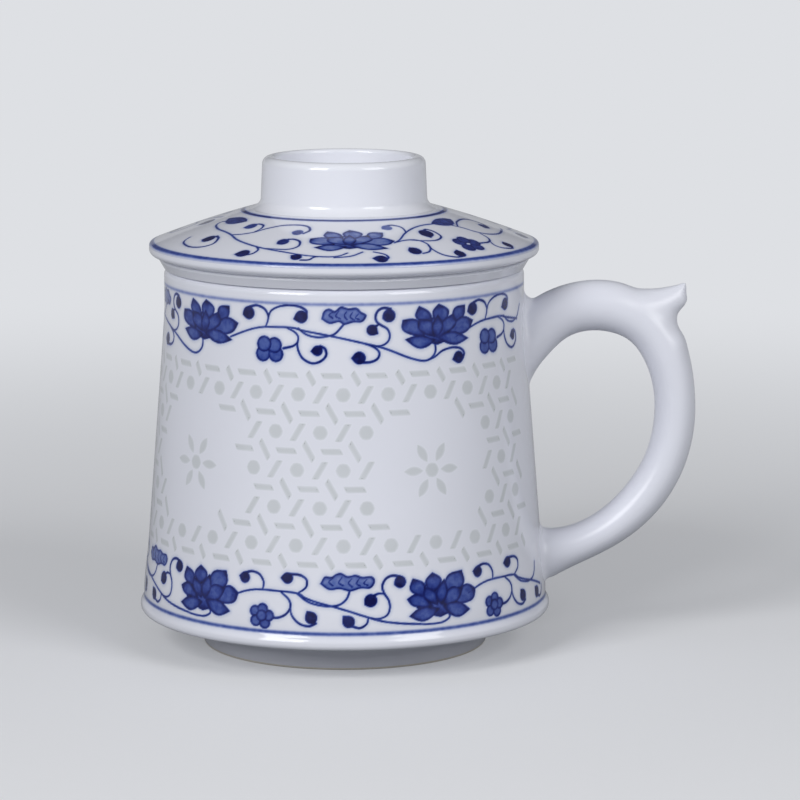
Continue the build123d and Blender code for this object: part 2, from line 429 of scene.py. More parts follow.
class FinishSheet(NodeSheet):
    """The node sheet of a material."""

    def __init__(self, name: str) -> None:
        """Starts a material with an empty tree and the piece's own coordinates."""
        self.material = bpy.data.materials.new(name)
        self.material.use_nodes = True
        super().__init__(self.material.node_tree)
        self.tree.nodes.clear()
        self.place = self.node("ShaderNodeTexCoord").outputs["Object"]

    def noise(self, size: float, detail: float) -> bpy.types.NodeSocket:
        """Adds a noise whose patches are size millimetres wide."""
        return self.out(
            "ShaderNodeTexNoise", {"Vector": self.place, "Scale": 1 / (size * MM), "Detail": detail}
        )

    def attribute(self, name: str) -> bpy.types.NodeSocket:
        """Reads a number that the piece's points carry."""
        return self.node("ShaderNodeAttribute", attribute_name=name).outputs["Fac"]

    def bump(self, height: bpy.types.NodeSocket, strength: float, distance: float) -> bpy.types.NodeSocket:
        """Adds a bump that is distance millimetres high."""
        return self.out(
            "ShaderNodeBump", {"Height": height, "Strength": strength, "Distance": distance * MM}
        )

    def mix(self, share: bpy.types.NodeSocket, first: Colour, second: Colour) -> bpy.types.NodeSocket:
        """Mixes two display colours."""
        inputs = {"Factor": share, "A": linear_colour(*first), "B": linear_colour(*second)}
        mixed = self.node("ShaderNodeMix", inputs, data_type="RGBA")
        return next(socket for socket in mixed.outputs if socket.type == "RGBA")

    def surface(self, **inputs: object) -> bpy.types.NodeSocket:
        """Adds the main shader; its inputs' names have an underscore for each space."""
        return self.out("ShaderNodeBsdfPrincipled", {key.replace("_", " "): inputs[key] for key in inputs})

    def finish(self, shader: bpy.types.NodeSocket) -> bpy.types.Material:
        """Links the shader to the output and hands the material over."""
        self.node("ShaderNodeOutputMaterial", {"Surface": shader})
        return self.material


class SolidSheet(NodeSheet):
    """The node sheet of a geometry tree whose named inputs end with a finish."""

    def __init__(self, name: str, *inputs: tuple[str, str]) -> None:
        """Starts a tree with the given inputs, each a name and a kind."""
        super().__init__(bpy.data.node_groups.new(name, "GeometryNodeTree"))
        for title, kind in (("Geometry", "Geometry"), *inputs, ("Finish", "Material")):
            self.tree.interface.new_socket(title, in_out="INPUT", socket_type=f"NodeSocket{kind}")
        self.tree.interface.new_socket("Geometry", in_out="OUTPUT", socket_type="NodeSocketGeometry")
        self.given = self.node("NodeGroupInput").outputs

    def named(self, name: str, kind: str) -> bpy.types.NodeSocket:
        """Reads a named value of the points."""
        made = self.node("GeometryNodeInputNamedAttribute", {"Name": name}, data_type=kind)
        return next(socket for socket in made.outputs if socket.enabled and socket.name == "Attribute")

    def solid(self, instance: bpy.types.NodeSocket, **inputs: object) -> bpy.types.NodeSocket:
        """Sets an instance on every point and makes the instances real."""
        inputs = {key.replace("_", " "): value for key, value in inputs.items()}
        inputs |= {"Points": self.given["Geometry"], "Instance": instance}
        spread = self.out("GeometryNodeInstanceOnPoints", inputs)
        return self.out("GeometryNodeRealizeInstances", {"Geometry": spread})

    def run(self, shape: bpy.types.NodeSocket, base: bpy.types.Object, values: dict) -> bpy.types.Object:
        """Ends the tree, runs it on an object and keeps the result as a plain mesh.

        Args:
            shape: The geometry that the tree has made.
            base: The object that holds the points.
            values: The values of the named inputs.

        Returns:
            The object, with its new mesh and no modifier.
        """
        inputs = {"Geometry": shape, "Material": self.given["Finish"]}
        self.node("NodeGroupOutput", {"Geometry": self.out("GeometryNodeSetMaterial", inputs)})
        modifier = base.modifiers.new("nodes", "NODES")
        modifier.node_group = self.tree
        for item in self.tree.interface.items_tree:
            if item.item_type == "SOCKET" and item.in_out == "INPUT" and item.name in values:
                modifier[item.identifier] = values[item.name]
        return baked(base)


# ---------------------------------------------------------------- finishes
@dataclass(frozen=True)
class CobaltScale:
    """How the blue under the glaze deepens with its density."""

    stops: tuple[tuple[float, Colour], ...] = (
        (0.0, (230, 232, 242)),
        (0.12, (205, 210, 229)),
        (0.3, (144, 156, 203)),
        (0.48, (86, 106, 173)),
        (0.64, (49, 69, 148)),
        (0.8, (24, 38, 114)),
        (1.0, (13, 17, 76)),
    )

    def ramp(self, sheet: NodeSheet, density: bpy.types.NodeSocket) -> bpy.types.NodeSocket:
        """Lays the scale out as a colour ramp over a density of 0 to 1."""
        node = sheet.node("ShaderNodeValToRGB", {"Fac": density})
        elements = node.color_ramp.elements
        for place, _ in self.stops[2:]:
            elements.new(place)
        for element, (place, colour) in zip(elements, self.stops):
            element.position = place
            element.color = linear_colour(*colour)
        return node.outputs["Color"]


# The knob's white is painted lighter than the cup's: a painted highlight for the brighter light that falls
# on the knob.
KNOB_PAINTED_LIGHT = CobaltScale(((0.0, (237, 239, 247)), (1.0, (13, 17, 76))))


@dataclass(frozen=True)
class GlazedPorcelain:
    """White porcelain under a clear, slightly blue glaze, with or without painting."""

    name: str
    scale: CobaltScale = field(default_factory=CobaltScale)
    brush_grain: float = 1.4
    brush_variation: float = 0.3
    cloud_size: float = 24.0
    cloud_depth: float = 0.05
    ripple_size: float = 5.0
    ripple_height: float = 0.004
    ripple_strength: float = 0.6
    roughness: float = 0.08
    shine: float = 0.45

    def material(self) -> bpy.types.Material:
        """Builds the material."""
        sheet = FinishSheet(self.name)
        swing = sheet.spread(
            sheet.noise(self.brush_grain, 3.0), 1 - self.brush_variation, 1 + self.brush_variation
        )
        density = sheet.math("MULTIPLY", sheet.attribute("cobalt"), swing, use_clamp=True)
        shade = sheet.spread(sheet.noise(self.cloud_size, 2.0), 1 - self.cloud_depth, 1.0)
        painted = self.scale.ramp(sheet, density)
        body = sheet.out("ShaderNodeVectorMath", {0: painted, 1: shade}, operation="MULTIPLY")
        bump = sheet.bump(sheet.noise(self.ripple_size, 1.0), self.ripple_strength, self.ripple_height)
        return sheet.finish(
            sheet.surface(
                Base_Color=body, Roughness=self.roughness, Specular_IOR_Level=self.shine, Normal=bump
            )
        )


@dataclass(frozen=True)
class WindowGlaze:
    """Grey-green glaze that pools in a grain-shaped hole and fades into the white rim. The pool's grey is
    partly the glaze's own tint and partly painted shade, for the cup's dim inside that shows through the
    window.
    """

    name: str = "window_glaze"
    rim: Colour = (230, 232, 242)
    # The pool's grey is partly the glaze's tint and partly painted shade of the dim inside seen through the
    # window.
    pool: Colour = (205, 209, 214)
    patch_size: float = 6.0
    variation: float = 0.3
    roughness: float = 0.12
    shine: float = 0.45

    def material(self) -> bpy.types.Material:
        """Builds the material."""
        sheet = FinishSheet(self.name)
        swing = sheet.spread(sheet.noise(self.patch_size, 2.0), 1 - self.variation, 1 + self.variation)
        # Mixes towards the pool's grey, part glaze tint and part painted shade, where the glaze lies deep.
        depth = sheet.math("MULTIPLY", sheet.attribute("pool"), swing, use_clamp=True)
        tint = sheet.mix(depth, self.rim, self.pool)
        return sheet.finish(
            sheet.surface(Base_Color=tint, Roughness=self.roughness, Specular_IOR_Level=self.shine)
        )


@dataclass(frozen=True)
class Biscuit:
    """Bare fired clay where the foot was wiped clean of glaze."""

    name: str = "bare_foot_clay"
    clay: Colour = (224, 219, 210)
    stain: Colour = (206, 199, 188)
    grain: float = 0.35
    pitting: float = 0.02
    pit_strength: float = 0.5
    roughness: float = 0.85

    def material(self) -> bpy.types.Material:
        """Builds the material."""
        sheet = FinishSheet(self.name)
        speck = sheet.noise(self.grain, 4.0)
        tint = CobaltScale(((0.0, self.stain), (1.0, self.clay))).ramp(sheet, speck)
        bump = sheet.bump(speck, self.pit_strength, self.pitting)
        return sheet.finish(sheet.surface(Base_Color=tint, Roughness=self.roughness, Normal=bump))


# ---------------------------------------------------------------- painting
class Canvas:
    """Collects how much cobalt lies at each point of a painted surface."""

    def __init__(self, places: np.ndarray) -> None:
        """Starts a bare canvas.

        Args:
            places: The flat coordinates of the surface's points, in millimetres, as
                an array of rows, columns and two coordinates.
        """
        self.shape = places.shape[:2]
        self.places = places.reshape(-1, 2)
        self.ink = np.zeros(len(self.places))

    def near(self, route: np.ndarray, margin: float = 2.0) -> np.ndarray:
        """The points that lie within a margin of a route's box."""
        low, high = route.min(0) - margin, route.max(0) + margin
        return np.flatnonzero(((self.places > low) & (self.places < high)).all(1))

    def distances(self, chosen: np.ndarray, route: np.ndarray) -> tuple[np.ndarray, np.ndarray]:
        """How far points lie from a route.

        Args:
            chosen: The points' places in the canvas.
            route: The route's points.

        Returns:
            The distance to the nearest run, and how far along the route it is, 0 to 1.
        """
        spots = self.places[chosen][:, None]
        start, way = route[:-1][None], np.diff(route, axis=0)[None]
        share = np.clip(((spots - start) * way).sum(2) / np.maximum((way**2).sum(2), 1e-9), 0.0, 1.0)
        gaps = np.linalg.norm(spots - start - share[..., None] * way, axis=2)
        nearest = gaps.argmin(1)
        rows = np.arange(len(chosen))
        return gaps[rows, nearest], (nearest + share[rows, nearest]) / (len(route) - 1)

    def line(self, gap: np.ndarray, tone: float, soft: float, reach: float) -> np.ndarray:
        """The ink of a line at a gap from its edge, with a faint bleed into the white."""
        bleed = LINE_BLEED * tone * np.exp(-((np.maximum(gap, 0.0) / reach) ** 2))
        return np.maximum(tone * (1 - smoothstep(-soft, soft, gap)), bleed)

    def stroke(self, route: np.ndarray, widths: tuple[float, float], tone: float) -> None:
        """Draws a brush line that may swell or thin along its way.

        Args:
            route: The line's points.
            widths: Its width at the start and at the end.
            tone: Its density.
        """
        chosen = self.near(route)
        if not len(chosen):
            return
        gap, along = self.distances(chosen, route)
        half = (widths[0] + (widths[1] - widths[0]) * along) / 2
        self.ink[chosen] = np.maximum(self.ink[chosen], self.line(gap - half, tone, LINE_SOFT, LINE_HALO))

    def ring(self, gap: np.ndarray, width: float, tone: float, soft: float) -> None:
        """Draws a banded line where gap, the distance from its middle, is small."""
        self.ink = np.maximum(self.ink, self.line(np.abs(gap).ravel() - width / 2, tone, soft, RING_HALO))

    def wash(
        self, outline: np.ndarray, fill: float, rim: float, rim_width: float, pools: Pools = ()
    ) -> None:
        """Fills a closed shape, darker at its edge and where the colour gathers.

        Args:
            outline: The shape's points.
            fill: The density in its middle.
            rim: The density at its edge.
            rim_width: How wide the dark edge is.
            pools: The places where the colour gathers, with how much and how far.
        """
        chosen = self.near(outline)
        if not len(chosen):
            return
        closed = np.vstack([outline, outline[:1]])
        gap, _ = self.distances(chosen, closed)
        depth = np.where(self.inside(chosen, closed), gap, -gap)
        value = fill + (rim - fill) * np.exp(-((np.maximum(depth, 0.0) / rim_width) ** 2))
        for place, strength, spread in pools:
            reach = np.linalg.norm(self.places[chosen] - place, axis=1)
            value = value + (1.0 - value) * strength * np.exp(-((reach / spread) ** 2))
        cover = smoothstep(*WASH_EDGE, depth)
        bleed = WASH_BLEED * rim * np.exp(-((np.maximum(-depth, 0.0) / WASH_HALO) ** 2))
        self.ink[chosen] = np.maximum(self.ink[chosen], bleed) * (1 - cover) + value * cover

    def inside(self, chosen: np.ndarray, closed: np.ndarray) -> np.ndarray:
        """Tells which points lie inside a closed shape."""
        x, y = self.places[chosen].T[:, :, None]
        (x0, y0), (x1, y1) = closed[:-1].T[:, None], closed[1:].T[:, None]
        crosses = (y0 > y) != (y1 > y)
        rise = np.where(y1 == y0, 1e-9, y1 - y0)
        return (crosses & (x < (x1 - x0) * (y - y0) / rise + x0)).sum(1) % 2 == 1

    def result(self) -> np.ndarray:
        """The ink in the shape of the surface's rows and columns."""
        return self.ink.reshape(self.shape)


@dataclass(frozen=True)
class Bud:
    """A dark round bud at the end of a tendril."""

    centre: Point
    radius: float
    point: Point
    tone: float = 0.98


@dataclass(frozen=True)
class Petal:
    """A petal or leaf, from its base to its tip, with the middles of its two sides."""

    base: Point
    tip: Point
    left: Point
    right: Point

    def outline(self, sharpness: float = 0.0) -> np.ndarray:
        """The petal's closed outline."""
        return leaf_outline(self.base, self.tip, self.left, self.right, sharpness=sharpness)


@dataclass(frozen=True)
class Placement:
    """Where a repeat of a scroll goes on a band that is unrolled flat."""

    shift: float = 0.0

    def route(self, points: np.ndarray) -> np.ndarray:
        """Moves the points of a line or shape."""
        return points + np.array([self.shift, 0.0])

    def lotus(self, points: np.ndarray) -> np.ndarray:
        """Moves the points of a lotus petal."""
        return self.route(points)


@dataclass(frozen=True)
class RoundPlacement(Placement):
    """Where a repeat goes on a round top: its points are azimuth and radius, and its
    lotus stands upright with its tips towards the middle."""

    turn: float = 0.0
    lotus_azimuth: float = 3.0
    lotus_radius: float = 33.7
    lotus_middle: Point = (22.5, 79.6)

    def route(self, points: np.ndarray) -> np.ndarray:
        """Turns azimuths and radii into places on the flat top."""
        angle = np.radians(points[:, 0] + self.turn)
        return points[:, 1:] * np.stack([np.sin(angle), -np.cos(angle)], 1)

    def lotus(self, points: np.ndarray) -> np.ndarray:
        """Stands the lotus on its azimuth."""
        angle = math.radians(self.lotus_azimuth + self.turn)
        across = np.array([math.cos(angle), math.sin(angle)])
        inwards = np.array([-math.sin(angle), math.cos(angle)])
        local = points - np.array(self.lotus_middle)
        return -inwards * self.lotus_radius + local[:, :1] * across + local[:, 1:] * inwards


@dataclass(frozen=True)
class Scroll:
    """One repeat of a painted scroll, in millimetres on the flat."""

    vines: tuple[Route, ...]
    tendrils: tuple[Route, ...]
    buds: tuple[Bud, ...]
    lotus: tuple[Petal, ...]
    cloud: Route = ()
    curls: tuple[Route, ...] = ()
    blossom: tuple[Point, ...] = ()
    blossom_radius: float = 1.75
    leaves: tuple[Petal, ...] = ()
    line_tone: float = 0.76
    petal_tone: float = 0.59
    rim_tone: float = 0.94
    blossom_tone: float = 0.56
    cloud_tone: float = 0.45
    leaf_tones: tuple[float, float] = (0.72, 0.84)
    curl_tone: float = 0.82
    tendril_gain: float = 0.08
    bud_rim_loss: float = 0.06
    vine_widths: tuple[float, float] = (0.42, 0.5)
    tendril_widths: tuple[float, float] = (0.36, 0.62)
    curl_widths: tuple[float, float] = (0.3, 0.5)
    petal_rim: float = 0.42
    leaf_rim: float = 0.5
    cloud_rim: float = 0.36
    blossom_rim: float = 0.34
    bud_rim: float = 0.3
    petal_sharpness: float = 0.3
    tip_pool: tuple[float, float] = (0.8, 1.3)
    base_pool: tuple[float, float] = (0.7, 1.7)

    def within(self, low: float, high: float) -> "Scroll":
        """The part of the repeat that lies between two places along it.

        Args:
            low: Where the part starts.
            high: Where it ends.

        Returns:
            A scroll whose vines are cut and whose other parts lie wholly inside.
        """

        def fits(*points: Point) -> bool:
            """Tells if every point is inside."""
            return all(low < point[0] < high for point in points)

        return replace(
            self,
            vines=tuple(cut for vine in self.vines if len(cut := tuple(p for p in vine if fits(p))) > 1),
            tendrils=tuple(route for route in self.tendrils if fits(*route)),
            buds=tuple(bud for bud in self.buds if fits(bud.centre)),
            lotus=self.lotus if all(fits(petal.base, petal.tip) for petal in self.lotus) else (),
            cloud=self.cloud if fits(*self.cloud) else (),
            curls=self.curls if fits(*self.cloud) else (),
            blossom=self.blossom if fits(*self.blossom) else (),
        )

    def paint(self, canvas: Canvas, move: Placement) -> None:
        """Paints the repeat.

        Args:
            canvas: The surface.
            move: Where the repeat goes on it.
        """
        for route in self.vines:
            canvas.stroke(move.route(smooth_route(route)), self.vine_widths, self.line_tone)
        tendril_tone = self.line_tone + self.tendril_gain
        for route in self.tendrils:
            canvas.stroke(move.route(smooth_route(route)), self.tendril_widths, tendril_tone)
        for petal in self.lotus:
            tip, base = move.lotus(np.array([petal.tip, petal.base], float))
            pools = ((tip, *self.tip_pool), (base, *self.base_pool))
            shape = move.lotus(petal.outline(self.petal_sharpness))
            canvas.wash(shape, self.petal_tone, self.rim_tone, self.petal_rim, pools)
        for leaf in self.leaves:
            canvas.wash(move.route(leaf.outline()), *self.leaf_tones, self.leaf_rim)
        if self.cloud:
            closed = smooth_route((*self.cloud, self.cloud[0]), 4)[:-1]
            canvas.wash(move.route(closed), self.cloud_tone, self.rim_tone, self.cloud_rim)
        for curl in self.curls:
            canvas.stroke(move.route(smooth_route(curl)), self.curl_widths, self.curl_tone)
        turns = np.linspace(0.0, 2 * math.pi, 16, endpoint=False)
        lobe = self.blossom_radius * np.stack([np.cos(turns), np.sin(turns)], 1)
        for centre in self.blossom:
            middle = move.route(np.array([centre], float))[0]
            canvas.wash(middle + lobe, self.blossom_tone, self.rim_tone, self.blossom_rim)
        for bud in self.buds:
            centre, point = move.route(np.array([bud.centre, bud.point], float))
            shape = bud_outline(centre, bud.radius, point)
            canvas.wash(shape, bud.tone, bud.tone - self.bud_rim_loss, self.bud_rim)


UPPER_LOTUS = (
    Petal((21.8, 75.6), (22.0, 82.4), (16.2, 78.5), (27.8, 78.7)),
    Petal((20.4, 80.0), (17.2, 84.5), (16.5, 81.9), (20.0, 82.8)),
    Petal((26.3, 79.8), (29.6, 83.9), (26.4, 83.3), (29.2, 81.4)),
    Petal((22.7, 79.6), (22.2, 84.7), (20.6, 82.6), (25.0, 82.8)),
    Petal((18.6, 77.5), (13.3, 81.6), (13.6, 79.0), (17.0, 81.3)),
    Petal((23.8, 77.3), (32.1, 80.2), (28.2, 81.2), (29.8, 77.7)),
    Petal((21.2, 77.3), (17.2, 81.6), (17.3, 79.0), (20.5, 80.8)),
    Petal((22.2, 77.3), (26.2, 82.2), (23.0, 80.5), (26.8, 79.5)),
    Petal((21.6, 77.2), (22.0, 82.3), (20.4, 79.6), (23.4, 79.6)),
    Petal((21.3, 76.7), (13.9, 77.2), (17.2, 77.9), (17.4, 75.0)),
    Petal((21.8, 77.2), (30.4, 76.3), (26.2, 78.2), (26.2, 75.2)),
)
LOWER_LOTUS = (
    Petal((22.2, 14.4), (21.8, 22.0), (16.2, 17.6), (27.6, 17.8)),
    Petal((18.8, 19.2), (15.7, 23.5), (15.1, 20.8), (18.5, 22.2)),
    Petal((20.6, 19.8), (20.6, 24.5), (18.7, 22.4), (22.9, 22.6)),
    Petal((23.6, 18.2), (28.5, 24.2), (24.3, 23.2), (28.6, 20.8)),
    Petal((20.6, 16.9), (14.2, 19.0), (17.0, 19.9), (16.0, 17.2)),
    Petal((24.6, 17.2), (32.1, 19.7), (28.9, 20.9), (30.6, 17.1)),
    Petal((22.6, 17.1), (28.5, 20.2), (24.9, 20.6), (26.5, 17.3)),
    Petal((21.6, 17.1), (18.4, 21.5), (18.5, 18.8), (21.2, 20.0)),
    Petal((22.5, 17.1), (23.6, 22.8), (21.3, 19.8), (24.3, 19.8)),
    Petal((22.0, 16.3), (14.6, 15.1), (17.6, 16.9), (18.2, 13.8)),
    Petal((22.8, 16.8), (30.1, 15.2), (26.9, 17.3), (26.4, 13.9)),
)
UPPER_SCROLL = Scroll(
    vines=(
        (
            (-27.5, 77.0), (-24.0, 78.4), (-21.0, 79.4), (-17.8, 79.9), (-12.1, 80.0), (-9.3, 79.4),
            (-2.5, 78.2), (5.0, 76.5), (9.3, 75.3), (13.6, 73.5), (16.5, 72.5), (18.6, 72.2),
            (20.2, 72.8), (21.2, 74.2), (21.1, 76.6),
        ),
        (
            (-10.4, 79.9), (-9.0, 78.8), (-7.4, 78.2), (-5.5, 78.0), (-3.6, 78.3), (-2.0, 78.9),
            (0.0, 81.1),
        ),
    ),
    tendrils=(
        (
            (19.3, 72.3), (21.0, 72.9), (23.0, 74.1), (25.5, 74.6), (27.8, 74.3), (29.0, 73.2),
            (28.6, 72.0),
        ),
        (
            (4.0, 76.7), (7.0, 76.0), (8.8, 76.2), (10.0, 77.2), (10.2, 78.6), (9.6, 79.8), (8.3, 80.6),
            (7.3, 81.4), (7.0, 82.6), (7.6, 83.9), (8.9, 84.5), (10.4, 84.2),
        ),
        ((7.9, 80.9), (7.0, 80.4)),
        ((4.0, 76.7), (5.8, 76.1), (7.1, 75.4), (7.8, 74.4), (7.4, 73.2), (6.0, 72.5), (4.2, 72.4)),
        (
            (-13.0, 79.9), (-11.2, 79.0), (-10.4, 77.9), (-10.6, 76.4), (-10.3, 74.8), (-9.3, 73.2),
            (-7.3, 72.2), (-5.4, 72.6), (-4.1, 73.9), (-4.3, 75.4), (-5.4, 76.0),
        ),
        ((-10.5, 76.8), (-11.6, 75.9), (-13.8, 75.3)),
        ((-18.2, 79.9), (-17.6, 81.6), (-17.7, 82.8), (-18.6, 84.0), (-20.4, 84.6), (-22.2, 84.2)),
        (
            (-17.6, 81.8), (-16.9, 83.5), (-15.0, 84.6), (-12.6, 85.0), (-10.2, 84.8), (-8.6, 83.9),
            (-8.6, 82.9),
        ),
    ),
    buds=(
        Bud((27.4, 72.3), 1.35, (25.3, 71.8)), Bud((10.1, 82.7), 1.45, (8.6, 82.1)),
        Bud((6.2, 79.6), 1.2, (7.7, 78.6)), Bud((3.3, 73.4), 1.4, (1.5, 73.4)),
        Bud((-6.0, 75.0), 1.15, (-7.9, 74.8)), Bud((-22.5, 82.8), 1.45, (-24.1, 82.3)),
        Bud((-9.7, 82.5), 1.4, (-11.7, 81.9)),
    ),
    lotus=UPPER_LOTUS,
    cloud=(
        (-5.1, 82.1), (-4.6, 83.8), (-3.4, 84.4), (-2.1, 83.9), (-0.8, 84.9), (0.9, 84.5), (2.7, 84.6),
        (3.7, 83.7), (4.9, 82.9), (4.0, 81.5), (2.0, 81.4), (0.0, 80.9), (-1.2, 81.5), (-3.3, 81.1),
    ),
    curls=(
        ((-2.2, 83.8), (-3.4, 83.1), (-2.6, 82.3)),
        ((-1.2, 84.0), (-1.9, 82.8), (-0.9, 82.2)),
        ((0.6, 83.9), (0.0, 82.9), (0.6, 82.0)),
        ((1.8, 83.6), (1.3, 82.6), (2.2, 81.9)),
        ((3.2, 83.3), (2.5, 82.4), (3.3, 82.0)),
    ),
    blossom=((-18.7, 73.9), (-15.6, 73.9), (-16.0, 75.9), (-18.5, 76.1)),
)
LOWER_SCROLL = Scroll(
    vines=(
        (
            (-27.0, 18.9), (-23.4, 20.3), (-20.1, 20.9), (-15.9, 20.9), (-10.9, 20.6), (-9.0, 19.6),
            (-5.9, 18.6), (-2.6, 17.8), (0.8, 16.8), (4.1, 15.7), (8.3, 14.4), (12.4, 13.7), (17.2, 13.2),
        ),
        ((17.2, 13.2), (19.4, 13.0), (21.2, 13.0), (23.2, 13.3), (24.6, 14.4), (23.2, 16.2)),
        ((-10.9, 20.5), (-8.6, 18.9), (-6.4, 18.2), (-4.0, 17.9), (-1.4, 18.2), (0.3, 19.5), (1.1, 21.4)),
    ),
    tendrils=(
        ((-19.2, 20.9), (-19.0, 22.6), (-20.1, 24.3), (-22.0, 24.8), (-24.0, 24.3)),
        ((-10.6, 20.7), (-8.9, 22.0), (-8.8, 23.7), (-10.3, 24.7), (-12.6, 24.8)),
        ((-14.7, 20.7), (-12.8, 19.1), (-12.4, 17.4), (-13.4, 15.8), (-15.2, 14.9), (-17.0, 14.8)),
        ((-12.5, 17.6), (-12.0, 15.6), (-10.4, 13.9), (-8.2, 13.3), (-6.6, 14.0)),
        ((5.2, 15.3), (4.8, 13.9), (3.3, 13.0), (1.6, 13.4)),
        (
            (3.2, 15.9), (7.0, 15.0), (9.3, 15.6), (10.1, 17.2), (9.9, 19.0), (8.9, 20.6), (8.5, 22.2),
            (9.3, 23.8), (10.9, 24.5), (12.6, 24.2),
        ),
        ((8.9, 20.5), (7.6, 20.6), (6.6, 20.2)),
    ),
    buds=(
        Bud((-23.8, 23.3), 1.25, (-25.3, 23.6)), Bud((-13.2, 23.9), 1.25, (-14.9, 23.9)),
        Bud((-7.6, 15.2), 1.35, (-8.7, 16.9)), Bud((0.8, 14.4), 1.35, (-0.5, 15.8)),
        Bud((12.7, 23.0), 1.35, (11.3, 22.4)), Bud((5.8, 19.1), 1.45, (4.4, 18.2)),
    ),
    lotus=LOWER_LOTUS,
    cloud=(
        (-5.6, 22.9), (-4.6, 24.5), (-3.2, 24.4), (-2.0, 25.1), (-0.8, 25.3), (0.6, 24.6), (2.4, 24.9),
        (4.0, 24.4), (6.0, 24.5), (6.8, 23.4), (5.8, 21.9), (3.6, 21.9), (1.2, 21.3), (-1.2, 21.8),
        (-3.6, 21.6),
    ),
    curls=(
        ((-2.4, 24.4), (-3.6, 23.4), (-2.8, 22.5)),
        ((-0.6, 24.5), (-1.4, 23.2), (-0.4, 22.5)),
        ((1.6, 24.1), (0.8, 23.1), (1.6, 22.2)),
        ((3.2, 24.0), (2.6, 23.0), (3.4, 22.4)),
        ((5.0, 23.9), (4.3, 23.0), (5.2, 22.5)),
    ),
    blossom=((-20.8, 16.0), (-20.6, 13.9), (-18.4, 13.5), (-17.5, 15.2), (-19.0, 16.6), (-19.2, 15.1)),
    blossom_radius=1.3,
)
UPPER_SCROLL_PLAIN = replace(
    UPPER_SCROLL,
    tendrils=UPPER_SCROLL.tendrils[1:],
    buds=UPPER_SCROLL.buds[1:],
)
LID_SCROLL = Scroll(
    vines=(
        (
            (1.0, 39.6), (-1.5, 40.8), (-5.0, 41.3), (-11.6, 40.9), (-20.0, 39.6), (-28.5, 38.4),
            (-35.7, 37.1), (-42.9, 35.6), (-49.0, 33.9), (-55.0, 33.0), (-63.0, 32.4), (-70.0, 31.2),
            (-72.0, 29.6), (-69.0, 28.6),
        ),
        ((6.0, 39.2), (2.0, 41.0), (-3.0, 41.6)),
        (
            (18.5, 35.4), (21.5, 34.0), (25.5, 31.4), (29.9, 29.6), (35.3, 28.3), (41.4, 27.7),
            (48.6, 27.9), (54.6, 29.1), (58.8, 31.2), (61.2, 33.8), (65.0, 36.0), (72.0, 37.2),
            (79.0, 37.0), (84.5, 36.6),
        ),
        (
            (19.0, 35.2), (23.3, 34.4), (28.0, 34.6), (30.4, 36.4), (30.0, 38.6), (28.2, 40.2),
            (25.6, 40.8),
        ),
    ),
    tendrils=(
        (
            (-68.0, 38.0), (-66.5, 39.7), (-63.4, 40.8), (-57.4, 41.4), (-52.4, 40.6), (-50.0, 38.6),
            (-52.0, 36.2), (-55.0, 35.3),
        ),
        ((-31.5, 37.8), (-29.4, 39.2), (-29.8, 41.0), (-31.8, 42.0)),
        ((-27.0, 38.5), (-19.4, 38.4), (-16.2, 36.8), (-16.7, 34.6), (-19.4, 33.6), (-21.8, 33.7)),
        ((-7.5, 41.2), (-9.4, 41.6), (-10.6, 42.7), (-13.0, 42.9)),
        (
            (-49.0, 33.8), (-45.3, 33.2), (-40.5, 31.6), (-36.9, 29.3), (-30.9, 27.1), (-23.0, 26.4),
            (-17.6, 27.0), (-15.5, 28.9), (-17.4, 30.6),
        ),
        ((-40.5, 31.6), (-39.6, 29.6), (-41.0, 27.9), (-44.7, 27.4), (-46.6, 28.0)),
        ((26.8, 30.9), (27.6, 29.4), (27.2, 27.7), (23.9, 26.6), (21.0, 26.8)),
        (
            (25.5, 34.4), (31.7, 35.3), (36.5, 35.3), (40.2, 33.9), (40.4, 31.4), (38.4, 30.0),
            (36.2, 30.4),
        ),
        ((30.2, 37.6), (30.4, 39.9), (32.0, 42.1), (35.3, 43.4), (38.2, 43.3)),
        ((62.0, 35.2), (60.6, 37.8), (57.0, 39.1), (50.8, 38.8)),
        ((58.4, 38.8), (57.0, 40.7), (58.2, 42.3), (61.8, 43.2), (63.4, 42.8)),
        ((58.4, 30.4), (64.0, 28.7), (72.7, 28.3), (78.4, 29.5), (79.6, 32.0), (77.6, 33.8)),
        ((60.0, 29.7), (58.6, 28.4), (59.4, 27.4)),
        ((9.6, 39.2), (12.8, 40.4), (13.6, 41.8), (12.6, 42.8)),
    ),
    buds=(
        Bud((-56.2, 37.0), 1.55, (-58.8, 37.8)), Bud((-33.2, 41.3), 1.5, (-36.0, 42.0)),
        Bud((-23.0, 35.0), 1.35, (-24.6, 36.2), 0.86), Bud((-14.8, 41.7), 1.2, (-16.8, 40.9)),
        Bud((-20.2, 30.2), 1.25, (-23.0, 30.0), 0.72), Bud((-47.0, 28.9), 1.4, (-49.8, 30.0), 0.76),
        Bud((20.3, 27.8), 1.2, (17.4, 28.4), 0.6), Bud((35.6, 31.8), 1.7, (35.0, 34.2)),
        Bud((23.6, 39.5), 1.5, (22.6, 37.8)), Bud((38.0, 42.2), 1.35, (38.6, 40.2)),
        Bud((63.4, 41.7), 1.25, (64.2, 40.2)), Bud((75.6, 33.3), 1.3, (73.0, 34.0), 0.8),
        Bud((11.2, 42.4), 1.45, (8.4, 42.0)),
    ),
    lotus=UPPER_LOTUS,
    blossom=((44.6, 40.0), (44.4, 37.2), (48.4, 40.2), (50.0, 38.2), (47.6, 36.6)),
    blossom_radius=1.6,
    leaves=(
        Petal((64.0, 26.9), (54.6, 26.3), (60.0, 25.9), (59.2, 27.5)),
        Petal((-55.4, 27.0), (-74.0, 27.6), (-64.5, 25.7), (-64.0, 29.6)),
    ),
    petal_tone=0.42,
    blossom_tone=0.74,
)


# ---------------------------------------------------------------- the cup
@dataclass(frozen=True)
class Band:
    """A painted band of the cup: its heights, its ring line and its scrolls in turn."""

    name: str
    low: float
    high: float
    ring_height: float
    ring_width: float
    ring_tone: float
    ring_soft: float
    scrolls: tuple[Scroll, ...]
    scroll_places: tuple[float, ...]


